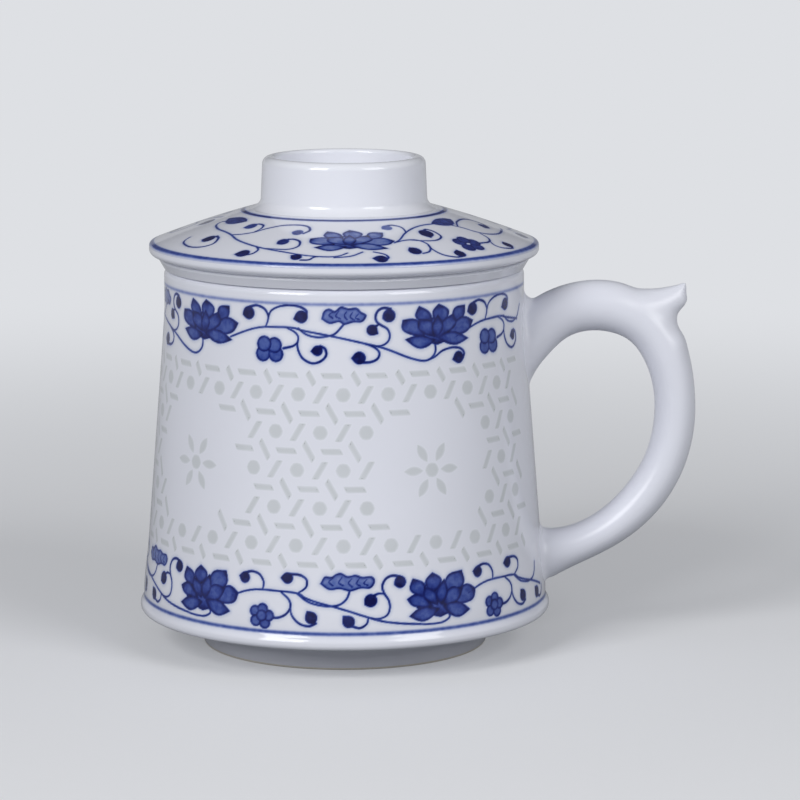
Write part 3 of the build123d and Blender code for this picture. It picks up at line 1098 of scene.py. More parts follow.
LOWER_BAND = Band(
    name="cup_lower_scroll",
    low=9.4,
    high=26.4,
    ring_height=11.6,
    ring_width=0.74,
    ring_tone=0.6,
    ring_soft=0.45,
    scrolls=(LOWER_SCROLL,),
    scroll_places=(-230.0, -172.5, -115.0, -57.5, 0.0, 57.0),
)
UPPER_BAND = Band(
    name="cup_upper_scroll",
    low=70.6,
    high=86.4,
    ring_height=85.35,
    ring_width=0.7,
    ring_tone=0.4,
    ring_soft=0.5,
    scrolls=(UPPER_SCROLL_PLAIN,) * 4 + (UPPER_SCROLL,) * 2,
    scroll_places=(-230.0, -172.5, -115.0, -57.5, 0.0, 54.5),
)


@dataclass
class CupSkin:
    """The glazed outside and inside of the cup, with its two painted bands."""

    body: str = "cup"
    node: str = "cup_body"
    slot: str = "cup_porcelain"
    foot_radius: float = 33.2
    foot_top: Point = (34.6, 4.8)
    foot_inner: float = 29.6
    foot_recess: float = 3.3
    foot_round: float = 0.4
    foot_cove: float = 3.4
    bare_height: float = 0.5
    under_height: float = 8.05
    belly: Point = (48.18, 9.4)
    belly_round: float = 1.35
    ledge: Point = (47.36, 11.5)
    flare: Point = (46.15, 24.6)
    shoulder: Point = (42.25, 74.0)
    mouth_radius: float = 41.9
    collar_height: float = 81.0
    rim_height: float = 88.7
    rim_outer_round: float = 1.6
    rim_inner_round: float = 0.8
    wall: float = 3.0
    floor_height: float = 8.0
    floor_edge: float = 36.0
    floor_start: float = 17.0
    columns: int = 1200
    row_spacing: float = 0.22
    wall_spacing: float = 4.0
    lining_spacing: float = 2.5
    bands: tuple[Band, Band] = (LOWER_BAND, UPPER_BAND)
    pattern_turn: float = 0.86
    band_clear: float = 12.5

    @property
    def rim_low(self) -> Point:
        """Where the outside meets the rounding of the rim."""
        return (self.mouth_radius, self.rim_height - self.rim_outer_round)

    def flank(self) -> Outline:
        """The outside from the widest place of the belly to the rim."""
        taper = (self.shoulder[0] - self.flare[0], self.shoulder[1] - self.flare[1])
        mouth = (self.mouth_radius, self.collar_height)
        return Outline.joined(
            Outline.curved(self.belly, (0.0, 1.0), self.ledge, (0.0, 1.0), 14),
            Outline.curved(self.ledge, (0.0, 1.0), self.flare, taper, 60),
            Outline.rounded(self.flare, self.shoulder),
            Outline.curved(self.shoulder, taper, mouth, (0.0, 1.0), 20),
            Outline.rounded(mouth, self.rim_low),
        )

    def underside(self) -> tuple[Outline, Outline, Outline]:
        """The recess, the bare foot ring and the glazed underside up to the belly."""
        slope = (self.foot_top[0] - self.foot_radius) / self.foot_top[1]
        inner_edge = (self.foot_inner, self.bare_height)
        outer_edge = (self.foot_radius + slope * self.bare_height, self.bare_height)
        recess_corner = (self.foot_inner, self.foot_recess, self.foot_round)
        stand = [(radius, 0.0, self.foot_round) for radius in (self.foot_inner, self.foot_radius)]
        cove = (*self.foot_top, self.foot_cove)
        fold = (self.belly[0], self.under_height, self.belly_round)
        return (
            Outline.rounded((0.0, self.foot_recess), recess_corner, inner_edge),
            Outline.rounded(inner_edge, *stand, outer_edge),
            Outline.rounded(outer_edge, cove, fold, self.belly, pieces=14),
        )

    def lining(self, flank: Outline) -> Outline:
        """The rim and the inside, down to the middle of the floor."""
        inner_mouth = self.mouth_radius - self.wall
        rim = Outline.rounded(
            self.rim_low,
            (self.mouth_radius, self.rim_height, self.rim_outer_round),
            (inner_mouth, self.rim_height, self.rim_inner_round),
            (inner_mouth, self.rim_low[1]),
        )
        inside = flank.between(1, self.floor_start, self.rim_low[1], self.lining_spacing)
        inside = inside.reversed_inwards(self.wall)
        way = inside.points[-1] - inside.points[-2]
        edge = (self.floor_edge, self.floor_height)
        bend = Outline.curved(inside.points[-1], way, edge, (-1.0, 0.0), 14)
        return Outline.joined(rim, inside, bend, Outline.rounded(edge, (0.0, self.floor_height)))

    def band_ink(self, outline: Outline, band: Band) -> np.ndarray:
        """Paints a scroll band and its ring line.

        Args:
            outline: The band's section.
            band: What is painted on it.

        Returns:
            The ink, in rows of the section and columns of a full turn that starts
            and ends at the handle.
        """
        mean_radius = float(outline.points[:, 0].mean())
        turns = WHOLE_TURN / self.columns * np.arange(self.columns + 1)
        turns = HANDLE_AZIMUTH - WHOLE_TURN - self.pattern_turn + turns
        places = np.stack(np.meshgrid(np.radians(turns) * mean_radius, outline.points[:, 1]), 2)
        canvas = Canvas(places)
        start, end = np.radians([turns[0] + self.band_clear, turns[-1] - self.band_clear]) * mean_radius
        for index, place in enumerate(band.scroll_places):
            scroll = band.scrolls[index % len(band.scrolls)]
            scroll.within(start - place, end - place).paint(canvas, Placement(place))
        canvas.ring(places[..., 1] - band.ring_height, band.ring_width, band.ring_tone, band.ring_soft)
        return canvas.result()

    def build(self, porcelain: bpy.types.Material, bare: bpy.types.Material) -> Outline:
        """Builds and dresses every piece of the cup's skin.

        Args:
            porcelain: The glazed finish.
            bare: The finish of the wiped foot.

        Returns:
            The cup's outside section, which other pieces follow.
        """
        flank = self.flank()
        recess, ring, under = self.underside()
        lower, upper = self.bands
        top = Outline.rounded((self.mouth_radius, upper.high), self.rim_low)
        pieces = (
            ("cup_foot_recess", recess, porcelain),
            ("cup_underside", under, porcelain),
            ("cup_window_wall", flank.between(1, lower.high, upper.low, self.wall_spacing), porcelain),
            ("cup_rim_and_lining", Outline.joined(top, self.lining(flank)), porcelain),
            ("cup_bare_foot_ring", ring, bare),
        )
        for name, outline, material in pieces:
            settle(turned_skin(name, outline, self.columns), self.body, self.slot, material, self.node)
        for band in self.bands:
            outline = flank.between(1, band.low, band.high, self.row_spacing)
            for piece in painted_sectors(band.name, outline, self.band_ink(outline, band), self.columns):
                settle(piece, self.body, self.slot, porcelain, self.node)
        return flank


# ---------------------------------------------------------------- rice-grain windows
class WindowShape(Enum):
    """The three hole shapes that the windows are cut with."""

    DOT = 0
    BAR = 1
    GRAIN = 2


@dataclass(frozen=True)
class Window:
    """One glaze window: its place, its tilt, its shape and its share of the full length."""

    azimuth: float
    height: float
    tilt: float
    shape: WindowShape
    stretch: float = 1.0


@dataclass
class WindowSet:
    """Glaze windows in the tapered wall: a lattice of dots and bars, and rosettes."""

    flank: Outline
    rows: int = 5
    row_pitch: float = 8.47
    first_row: float = 31.3
    pitch_angle: float = 13.54
    phase_angle: float = 0.46
    handle_clear: float = 24.5
    dot_radius: float = 1.66
    bar_length: float = 4.6
    bar_width: float = 1.3
    grain_length: float = 4.6
    grain_width: float = 2.0
    medallion_radius: float = 15.1
    medallion_height: float = 47.6
    medallion_count: int = 4
    medallion_pitch: float = 75.8
    first_medallion: float = 27.1
    rosette_ring: float = 4.5
    rosette_petals: int = 6
    bar_cut: float = 0.2
    edge_cut: float = 0.3
    taper_heights: Point = (30.0, 70.0)
    # Each step: outward offset, height, and how far the colour has gone to the pool's grey, which carries
    # the glaze tint and the painted shade.
    lens_steps: tuple[tuple[float, float, float], ...] = (
        (0.38, -0.004, 0.0),
        (0.24, 0.006, 0.0),
        (-0.1, 0.009, 0.7),
        (-0.4, 0.01, 1.0),
    )

    def outline(self, shape: WindowShape) -> np.ndarray:
        """The outline of one window shape on the flat, counter-clockwise from an end."""
        if shape is WindowShape.DOT:
            turns = np.linspace(0.0, 2 * math.pi, 12, endpoint=False)
            swell = 1.0 - 0.04 * (np.arange(12) % 2)
            return self.dot_radius * swell[:, None] * np.stack([np.cos(turns), np.sin(turns)], 1)
        if shape is WindowShape.BAR:
            return self.bar_outline()
        half, rise = self.grain_length / 2, self.grain_width / 2
        return leaf_outline((-half, 0.0), (half, 0.0), (0.0, -rise), (0.0, rise), pieces=6)

    def bar_outline(self) -> np.ndarray:
        """The outline of a bar whose ends lean and whose corners are a little rounded."""
        half, rise, cut = self.bar_length / 2, self.bar_width / 2, self.bar_cut
        lean = rise / math.tan(LATTICE_LEAN)
        corner, middle = np.array([half - lean, rise]), np.array([half, 0.0])
        end_way = (corner - middle) / np.linalg.norm(corner - middle)
        shares = np.linspace(0.0, 1.0, 5)
        edge = [(corner[0] - cut - share * (2 * half - 2 * cut), rise) for share in shares]
        top = [middle, corner - end_way * cut, *edge, (-half - lean + cut * 0.6, rise - cut * 0.7)]
        return np.vstack([top, -np.array(top)])

    def lens(self, shape: WindowShape) -> bpy.types.Object:
        """Makes one window as a low lens whose rim dips under the wall's surface.

        Args:
            shape: The window's shape.

        Returns:
            The lens, lying in the XZ plane and facing -Y.
        """
        outline = self.outline(shape)
        span, rise = np.abs(outline).max(0)
        spine = np.stack([np.clip(outline[:, 0], rise - span, span - rise), np.zeros(len(outline))], 1)
        out = outline - spine
        out /= np.linalg.norm(out, axis=1)[:, None]
        count = len(outline)
        vertices, pool, faces = [], [], []
        for offset, height, depth in self.lens_steps:
            vertices += [(x * MM, -height * MM, z * MM) for x, z in outline + out * offset]
            pool += [depth] * count
        last, half = len(vertices) - count, count // 2
        for low in range(0, last, count):
            for index in range(count):
                after = (index + 1) % count
                faces.append((low + index, low + after, low + count + after, low + count + index))
        faces.append((last, last + 1, last + count - 1))
        for index in range(1, half - 1):
            across = last + count - index
            faces.append((last + index, last + index + 1, across - 1, across))
        faces.append((last + half - 1, last + half, last + half + 1))
        mesh = smooth_mesh(f"window_{shape.name.lower()}", vertices, faces)
        keep_values(mesh, pool=np.array(pool))
        return placed(mesh.name, mesh)

    def lattice(self) -> list[Window]:
        """The lattice's windows that the handle and the medallions leave free."""
        found = []
        pitch = self.pitch_angle
        for row in range(self.rows + 1):
            height = self.first_row + row * self.row_pitch
            start = self.phase_angle + pitch / 2 * (row % 2)
            below = height - self.row_pitch / 2
            at_edge = {0: 1.0, self.rows: -1.0}.get(row, 0.0)
            stretch = 1.0 - self.edge_cut * abs(at_edge)
            up = at_edge * self.edge_cut * self.bar_length / 2 * math.sin(LATTICE_LEAN)
            aside = math.degrees(up / math.tan(LATTICE_LEAN) / self.flank.radius_at(below))
            first = math.ceil((HANDLE_AZIMUTH - WHOLE_TURN - start) / pitch)
            for column in range(first, first + int(WHOLE_TURN / pitch)):
                azimuth = start + column * pitch
                found.append(Window(azimuth + pitch / 4, below, 0.0, WindowShape.BAR))
                place = (azimuth - pitch / 4 - aside, below + up)
                found.append(Window(*place, -60.0, WindowShape.BAR, stretch))
                if row < self.rows:
                    found.append(Window(azimuth, height, 0.0, WindowShape.DOT))
                    found.append(Window(azimuth + pitch / 2, height, 60.0, WindowShape.BAR))
        return [window for window in found if self.is_free(window.azimuth, window.height)]

    def is_free(self, azimuth: float, height: float) -> bool:
        """Tells if a window's place is clear of the handle and of every medallion."""

        def swing(other: float) -> float:
            """The angle between the window and another azimuth."""
            return abs((azimuth - other + 180.0) % WHOLE_TURN - 180.0)

        def gap(centre: float) -> float:
            """The distance between the window and a medallion's middle."""
            arc = math.radians(swing(centre)) * self.flank.radius_at(height)
            return math.hypot(arc, height - self.medallion_height)

        if swing(HANDLE_AZIMUTH) < self.handle_clear:
            return False
        return all(gap(centre) >= self.medallion_radius for centre in self.medallion_azimuths())

    def medallion_azimuths(self) -> list[float]:
        """The azimuths of the medallions' middles."""
        counts = range(self.medallion_count)
        return [self.first_medallion - self.medallion_pitch * count for count in counts]

    def rosettes(self) -> list[Window]:
        """The windows of the rosettes, one in each medallion."""
        found = []
        for azimuth in self.medallion_azimuths():
            found.append(Window(azimuth, self.medallion_height, 0.0, WindowShape.DOT))
            for petal in range(self.rosette_petals):
                tilt = WHOLE_TURN / self.rosette_petals * petal
                across = self.rosette_ring * math.cos(math.radians(tilt))
                height = self.medallion_height + self.rosette_ring * math.sin(math.radians(tilt))
                turn = math.degrees(across / self.flank.radius_at(height))
                found.append(Window(azimuth + turn, height, tilt, WindowShape.GRAIN))
        return found

    def wrapped(self, work: SolidSheet) -> bpy.types.NodeSocket:
        """Lays out the nodes that set windows on points and wrap them round the wall."""
        gathered = work.node("GeometryNodeJoinGeometry")
        for shape in reversed(WindowShape):
            inputs = {"Object": work.given[shape.name.title()], "As Instance": True}
            info = work.node("GeometryNodeObjectInfo", inputs)
            work.tree.links.new(info.outputs["Geometry"], gathered.inputs[0])
        stretch = {"X": work.named("stretch", "FLOAT"), "Y": 1.0, "Z": 1.0}
        solid = work.solid(
            gathered.outputs[0],
            Pick_Instance=True,
            Instance_Index=work.named("kind", "INT"),
            Rotation=work.out("ShaderNodeCombineXYZ", {"Y": work.named("tilt", "FLOAT")}),
            Scale=work.out("ShaderNodeCombineXYZ", stretch),
        )
        spot = work.node("ShaderNodeSeparateXYZ", {"Vector": work.out("GeometryNodeInputPosition")}).outputs
        rise = work.math("SUBTRACT", spot["Z"], work.given["Flare Height"])
        lean = work.math("MULTIPLY", rise, work.given["Taper"])
        wall = work.math("ADD", lean, work.given["Flare Radius"])
        radius = work.math("SUBTRACT", wall, spot["Y"])
        turn = work.math("ADD", work.math("DIVIDE", spot["X"], wall), work.named("azimuth", "FLOAT"))
        across = work.math("MULTIPLY", radius, work.math("SINE", turn))
        along = work.math("MULTIPLY", work.math("MULTIPLY", radius, work.math("COSINE", turn)), -1.0)
        place = work.out("ShaderNodeCombineXYZ", {"X": across, "Y": along, "Z": spot["Z"]})
        return work.out("GeometryNodeSetPosition", {"Geometry": solid, "Position": place})

    def polish(self, piece: bpy.types.Object, lean: float) -> None:
        """Gives the windows the wall's own normals, so that they shine as one with it.

        Args:
            piece: The windows.
            lean: How much the wall leans in over its height.
        """
        places = np.empty(len(piece.data.vertices) * 3, np.float32)
        piece.data.vertices.foreach_get("co", places)
        facing = places.reshape(-1, 3).copy()
        facing[:, 2] = np.hypot(facing[:, 0], facing[:, 1]) * lean
        facing /= np.linalg.norm(facing, axis=1)[:, None]
        piece.data.normals_split_custom_set_from_vertices(facing.tolist())

    def build(
        self, name: str, windows: list[Window], material: bpy.types.Material, slot: str, node: str
    ) -> None:
        """Builds one piece of glaze windows.

        Args:
            name: The piece's name.
            windows: The windows.
            material: The glaze.
            slot: The name of a material slot.
            node: The node of the model that the piece stands for.
        """
        mesh = smooth_mesh(name, [(0.0, 0.0, window.height * MM) for window in windows], [])
        keep_values(
            mesh,
            azimuth=np.radians([window.azimuth for window in windows]),
            tilt=-np.radians([window.tilt for window in windows]),
            stretch=np.array([window.stretch for window in windows]),
            kind=np.array([window.shape.value for window in windows]),
        )
        lenses = {shape.name.title(): self.lens(shape) for shape in WindowShape}
        low, high = (self.flank.radius_at(height) for height in self.taper_heights)
        taper = (high - low) / (self.taper_heights[1] - self.taper_heights[0])
        numbers = {"Flare Radius": low * MM, "Flare Height": self.taper_heights[0] * MM, "Taper": taper}
        kinds = [*((title, "Object") for title in lenses), *((title, "Float") for title in numbers)]
        work = SolidSheet("wrap_windows_round_wall", *kinds)
        values = {**lenses, **numbers, "Finish": material}
        piece = work.run(self.wrapped(work), placed(name, mesh), values)
        for lens in lenses.values():
            bpy.data.objects.remove(lens)
        self.polish(piece, -taper)
        settle(piece, "cup", slot, material, node)


# ---------------------------------------------------------------- infuser
@dataclass
class Infuser:
    """The infuser cup, with a rounded lip of glaze round each of its holes."""

    body: str = "infuser"
    node: str = "infuser_cup"
    slot: str = "infuser_porcelain"
    top_radius: float = 38.1
    foot_radius: float = 33.7
    top_height: float = 88.7
    bottom: float = 36.7
    hole_radius: float = 1.0
    lip_radius: float = 0.2
    lip_overhang: float = 0.4
    side_rows: int = 4
    side_count: int = 24
    side_pitch: float = 6.0
    first_side: float = 12.0
    floor_rings: int = 4
    floor_pitch: float = 6.0
    first_ring_holes: int = 6

    def holes(self) -> tuple[np.ndarray, np.ndarray]:
        """Finds where the holes open on the outside.

        Returns:
            The places, in metres, and the directions that the holes face.
        """
        places, facings = [(0.0, 0.0, self.bottom)], [(0.0, 0.0, -1.0)]
        lean = (self.top_radius - self.foot_radius) / (self.top_height - self.bottom)
        for row in range(self.side_rows):
            height = self.first_side + row * self.side_pitch
            radius = self.foot_radius + lean * height
            for column in range(self.side_count):
                turn = 2 * math.pi / self.side_count * (column + row % 2 / 2)
                places.append((radius * math.cos(turn), radius * math.sin(turn), self.bottom + height))
                facings.append((math.cos(turn), math.sin(turn), -lean))
        for ring in range(1, self.floor_rings + 1):
            radius, count = ring * self.floor_pitch, self.first_ring_holes * ring
            for turn in np.linspace(0.0, 2 * math.pi, count, endpoint=False):
                places.append((radius * math.cos(turn), radius * math.sin(turn), self.bottom))
                facings.append((0.0, 0.0, -1.0))
        return np.array(places) * MM, np.array(facings)

    def lips(self, work: SolidSheet) -> bpy.types.NodeSocket:
        """Lays out the nodes that ring each hole with a lip."""
        ring = {"Resolution": 14, "Radius": work.given["Hole Radius"]}
        section = {"Resolution": 6, "Radius": work.given["Lip Radius"]}
        curves = {
            "Curve": work.out("GeometryNodeCurvePrimitiveCircle", ring),
            "Profile Curve": work.out("GeometryNodeCurvePrimitiveCircle", section),
        }
        lip = work.out("GeometryNodeCurveToMesh", curves)
        smooth = work.out("GeometryNodeSetShadeSmooth", {"Geometry": lip})
        facing = {"Vector": work.named("facing", "FLOAT_VECTOR")}
        return work.solid(smooth, Rotation=work.out("FunctionNodeAlignRotationToVector", facing, axis="Z"))

    def build(self, porcelain: bpy.types.Material) -> None:
        """Glazes the model's own pierced cup and adds the lips.

        Args:
            porcelain: The glazed finish.
        """
        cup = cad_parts[self.node]
        cup.data.materials.clear()
        cup.data.materials.append(porcelain)
        places, facings = self.holes()
        mesh = smooth_mesh("infuser_hole_lips", places.tolist(), [])
        keep_values(mesh, facing=facings)
        values = {
            "Hole Radius": (self.hole_radius + self.lip_radius * self.lip_overhang) * MM,
            "Lip Radius": self.lip_radius * MM,
            "Finish": porcelain,
        }
        work = SolidSheet("ring_holes_with_glaze", ("Hole Radius", "Float"), ("Lip Radius", "Float"))
        piece = work.run(self.lips(work), placed(mesh.name, mesh), values)
        settle(piece, self.body, self.slot, porcelain)


# ---------------------------------------------------------------- lid and knob
@dataclass
class Lid:
    """The domed lid with its painted face, and the hollow ring knob on it."""

    body: str = "lid"
    node: str = "lid_dome"
    slot: str = "lid_porcelain"
    seat_height: float = 91.3
    seat_radius: float = 42.9
    seat_round: float = 0.4
    edge_radius: float = 45.35
    bevel_height: float = 92.2
    edge_middle: float = 93.78
    edge_height: float = 94.4
    edge_round: float = 1.25
    top_edge_round: float = 0.825
    face_start: float = 44.72
    crown_radius: float = 22.0
    crown_height: float = 102.4
    bulge: float = 0.33
    thickness: float = 3.1
    ceiling_round: float = 6.0
    skirt_top: float = 95.6
    skirt_top_round: float = 1.6
    skirt_radius: float = 35.2
    skirt_bore: float = 32.6
    skirt_bottom: float = 86.3
    skirt_round: float = 0.9
    knob_radius: float = 18.9
    knob_waist: Point = (19.35, 104.7)
    knob_foot: float = 21.9
    knob_foot_lift: float = 0.01
    knob_bore: float = 16.2
    knob_bore_bottom: float = 104.6
    knob_inner_foot: float = 14.6
    knob_top: float = 114.4
    knob_rim_rounds: Point = (1.75, 0.9)
    knob_columns: int = 480
    columns: int = 1200
    row_spacing: float = 0.22
    rings: tuple[tuple[float, float, float, float], ...] = (
        (23.5, 0.9, 0.84, 0.34),
        (44.72, 1.0, 0.64, 0.3),
    )
    pattern_turn: float = 0.86
    scroll_parts: tuple[tuple[float, float, float], ...] = (
        (0.0, -95.0, 90.0),
        (120.0, -34.0, 60.0),
        (240.0, -60.0, 38.0),
    )

    def face(self) -> Outline:
        """The painted face, from the middle of the lid's edge to the crown."""
        edge, crown = (self.edge_radius, self.edge_height), (self.crown_radius, self.crown_height)
        way, rise = np.subtract(crown, edge), np.array([0.0, 4 * self.bulge])
        t = np.linspace(0.0, 1.0, 121)[:, None]
        dome = Outline.running(np.array(edge) + way * t + rise * t * (1 - t), way + rise * (1 - 2 * t))
        over = dome.between(0, self.face_start, self.crown_radius, self.row_spacing)
        low = (self.edge_radius, self.edge_middle)
        return Outline.joined(Outline.rounded(low, (*edge, self.top_edge_round), over.points[0]), over)

    def underside(self) -> Outline:
        """The lid's inside, its skirt, its seat and its outer edge."""
        ceiling = self.crown_height - self.thickness
        return Outline.rounded(
            (0.0, ceiling),
            (self.crown_radius, ceiling, self.ceiling_round),
            (self.skirt_bore, self.skirt_top, self.skirt_top_round),
            (self.skirt_bore, self.skirt_bottom, self.skirt_round),
            (self.skirt_radius, self.skirt_bottom, self.skirt_round),
            (self.skirt_radius, self.seat_height, self.seat_round),
            (self.seat_radius, self.seat_height, self.seat_round),
            (self.edge_radius, self.bevel_height, self.edge_round),
            (self.edge_radius, self.edge_middle),
        )

    def face_ink(self, outline: Outline) -> np.ndarray:
        """Paints the lid's face.

        Args:
            outline: The face's section.

        Returns:
            The ink, in rows of the section and columns of a full turn.
        """
        turns = WHOLE_TURN / self.columns * np.arange(self.columns + 1)
        turns = np.radians(HANDLE_AZIMUTH - WHOLE_TURN + turns)
        radii = outline.points[:, 0]
        canvas = Canvas(radii[:, None, None] * np.stack([np.sin(turns), -np.cos(turns)], 1)[None])
        for turn, low, high in self.scroll_parts:
            LID_SCROLL.within(low, high).paint(canvas, RoundPlacement(turn=turn + self.pattern_turn))
        distance = np.repeat(radii[:, None], self.columns + 1, 1)
        for radius, width, tone, soft in self.rings:
            canvas.ring(distance - radius, width, tone, soft)
        return canvas.result()

    def knob(self) -> Outline:
        """The ring knob, from its outer foot over the rim to its inner foot."""
        bore = (self.knob_bore, self.knob_bore_bottom)
        up = (self.knob_radius - self.knob_waist[0], self.knob_top - self.knob_waist[1])
        foot = (self.knob_foot, self.crown_height + self.knob_foot_lift)
        inner_foot = (self.knob_inner_foot, self.crown_height)
        outer_round, inner_round = self.knob_rim_rounds
        rim = Outline.rounded(
            self.knob_waist,
            (self.knob_radius, self.knob_top, outer_round),
            (self.knob_bore, self.knob_top, inner_round),
            bore,
            pieces=12,
        )
        return Outline.joined(
            Outline.curved(foot, (-1.0, 0.03), self.knob_waist, up, 20),
            rim,
            Outline.curved(bore, (0.0, -1.0), inner_foot, (-1.0, 0.0), 10),
        )

    def build(self, porcelain: bpy.types.Material, knob_glaze: bpy.types.Material) -> None:
        """Builds and dresses the lid and its knob.

        Args:
            porcelain: The glazed finish.
            knob_glaze: The knob's glaze, painted whiter than the cup's as a painted highlight for the
                brighter light on the knob.
        """
        face = self.face()
        crown = Outline.rounded((self.crown_radius, self.crown_height), (0.0, self.crown_height))
        pieces = [turned_skin("lid_underside", self.underside(), self.columns)]
        pieces += painted_sectors("lid_face", face, self.face_ink(face), self.columns)
        pieces.append(turned_skin("lid_crown", crown, self.columns))
        for piece in pieces:
            settle(piece, self.body, self.slot, porcelain, self.node)
        knob = turned_skin("lid_ring_knob", self.knob(), self.knob_columns)
        settle(knob, self.body, "knob_porcelain", knob_glaze, "lid_knob")


# ---------------------------------------------------------------- handle
@dataclass
class Handle:
    """The ear handle, luted on with soft fillets at both roots."""

    flank: Outline
    body: str = "cup"
    node: str = "handle"
    slot: str = "handle_porcelain"
    weld_gap: float = 0.0005
    voxel: float = 0.4
    plate_depths: tuple[float, float] = (0.05, 1.6)
    plate_rows: int = 14
    plate_columns: int = 18
    roots: tuple[tuple[float, float, float], ...] = ((72.0, 15.0, 13.5), (22.4, 9.4, 12.5))
    root_blobs: tuple[tuple[float, float, float], ...] = ((76.0, 4.2, 6.0), (20.2, 4.4, 3.8))
    root_blob_depth: float = 2.4
    root_blob_sides: tuple[int, int] = (16, 10)
    spur_blob_sides: tuple[int, int] = (24, 16)
    spur_blobs: tuple[tuple[float, float, float, float], ...] = (
        (70.0, 79.0, 4.4, 5.3),
        (72.6, 79.3, 4.1, 4.5),
        (75.0, 79.8, 3.9, 3.6),
        (77.3, 80.5, 3.2, 2.5),
    )
    spur_middle: Point = (73.5, 79.0)
    spur_reach: Point = (6.5, 12.0)
    spur_smoothing: int = 90
    nudges: tuple[tuple[float, float, float, float, float], ...] = (
        (80.2, 85.2, 3.0, 0.0, 0.7),
        (72.0, 84.0, 3.2, 0.0, -0.35),
        (78.4, 77.0, 3.0, -0.7, 0.3),
        (78.0, 71.5, 2.6, 0.45, 0.0),
    )
    overall_smoothing: int = 5
    root_smoothing: int = 70
    fillet_reach: float = 4.5
    fillet_depth: float = 0.9

    def plate(self, work: bmesh.types.BMesh, height: float, half_height: float, half_arc: float) -> None:
        """Adds a curved plate just under the wall's surface, for the fillet to run into.

        Args:
            work: The mesh under construction.
            height: The height of the plate's middle.
            half_height: Half of its height.
            half_arc: Half of its width along the wall.
        """
        rows, columns = self.plate_rows, self.plate_columns
        layers = []
        for depth in self.plate_depths:
            grid = []
            for row in range(rows + 1):
                level = height + half_height * (2 * row / rows - 1)
                radius = self.flank.radius_at(level) - depth
                turns = half_arc / radius * np.linspace(-1.0, 1.0, columns + 1)
                turns = math.radians(HANDLE_AZIMUTH) + turns
                line = [(radius * math.sin(turn), -radius * math.cos(turn), level) for turn in turns]
                grid.append([work.verts.new(Vector(place) * MM) for place in line])
            layers.append(grid)
        outer, inner = layers
        for row in range(rows):
            for column in range(columns):
                corners = ((row, column), (row, column + 1), (row + 1, column + 1), (row + 1, column))
                for grid, way in ((outer, 1), (inner, -1)):
                    work.faces.new([grid[level][place] for level, place in corners[::way]])
        border = [(0, column) for column in range(columns)]
        border += [(row, columns) for row in range(rows)]
        border += [(rows, column) for column in range(columns, 0, -1)]
        border += [(row, 0) for row in range(rows, 0, -1)]
        for (row, column), (far_row, far_column) in zip(border, border[1:] + border[:1]):
            near = [outer[row][column], inner[row][column]]
            work.faces.new([*near, inner[far_row][far_column], outer[far_row][far_column]])

    def blob(self, work: bmesh.types.BMesh, centre: Point3, size: Point3, sides: tuple[int, int]) -> None:
        """Adds a rounded lump of clay that the skin will run over."""
        matrix = Matrix.Translation(Vector(centre) * MM) @ Matrix.Diagonal((*(Vector(size) * MM), 1.0))
        around, up = sides
        bmesh.ops.create_uvsphere(work, u_segments=around, v_segments=up, radius=1.0, matrix=matrix)

    def blank(self) -> bpy.types.Object:
        """Joins the model's handle with the plates that its fillets run into."""
        work = bmesh.new()
        work.from_mesh(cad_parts[self.node].data)
        bmesh.ops.remove_doubles(work, verts=work.verts, dist=self.weld_gap * MM)
        for root in self.roots:
            self.plate(work, *root)
        for height, half_width, half_height in self.root_blobs:
            size = (self.root_blob_depth, half_width, half_height)
            self.blob(work, (self.flank.radius_at(height), 0.0, height), size, self.root_blob_sides)
        for x, z, half_thickness, half_width in self.spur_blobs:
            size = (half_thickness, half_width, half_thickness)
            self.blob(work, (x, 0.0, z), size, self.spur_blob_sides)
        bmesh.ops.recalc_face_normals(work, faces=work.faces)
        mesh = bpy.data.meshes.new("handle_glazed")
        work.to_mesh(mesh)
        work.free()
        return placed("handle_glazed", mesh)

    def soften(self, piece: bpy.types.Object, name: str, iterations: int, group: str = "") -> None:
        """Adds a smoothing of the whole piece or of one group of its points."""
        modifier = piece.modifiers.new(name, "SMOOTH")
        modifier.factor = 0.5
        modifier.iterations = iterations
        modifier.vertex_group = group

    def build(self, porcelain: bpy.types.Material) -> None:
        """Builds and dresses the handle.

        Args:
            porcelain: The glazed finish.
        """
        piece = self.blank()
        remesh = piece.modifiers.new("one skin", "REMESH")
        remesh.mode = "VOXEL"
        remesh.voxel_size = self.voxel * MM
        self.soften(piece, "even", self.overall_smoothing)
        baked(piece)
        roots = piece.vertex_groups.new(name="roots")
        spur = piece.vertex_groups.new(name="spur")
        near, far = self.spur_reach
        for vertex in piece.data.vertices:
            place = vertex.co / MM
            gap = math.hypot(place.x, place.y) - self.flank.radius_at(place.z)
            if -self.fillet_depth < gap < self.fillet_reach:
                roots.add([vertex.index], 1.0 - max(gap, 0.0) / self.fillet_reach, "REPLACE")
            away = math.hypot(place.x - self.spur_middle[0], place.z - self.spur_middle[1])
            if away < far:
                spur.add([vertex.index], min(1.0, (far - away) / (far - near)), "REPLACE")
        self.soften(piece, "roots", self.root_smoothing, "roots")
        self.soften(piece, "spur", self.spur_smoothing, "spur")
        baked(piece)
        piece.vertex_groups.clear()
        for vertex in piece.data.vertices:
            for x, z, reach, along, up in self.nudges:
                away = math.hypot(vertex.co.x / MM - x, vertex.co.z / MM - z) / reach
                vertex.co += Vector((along, 0.0, up)) * MM * math.exp(-away * away)
        piece.data.polygons.foreach_set("use_smooth", [True] * len(piece.data.polygons))
        settle(piece, self.body, self.slot, porcelain, self.node)


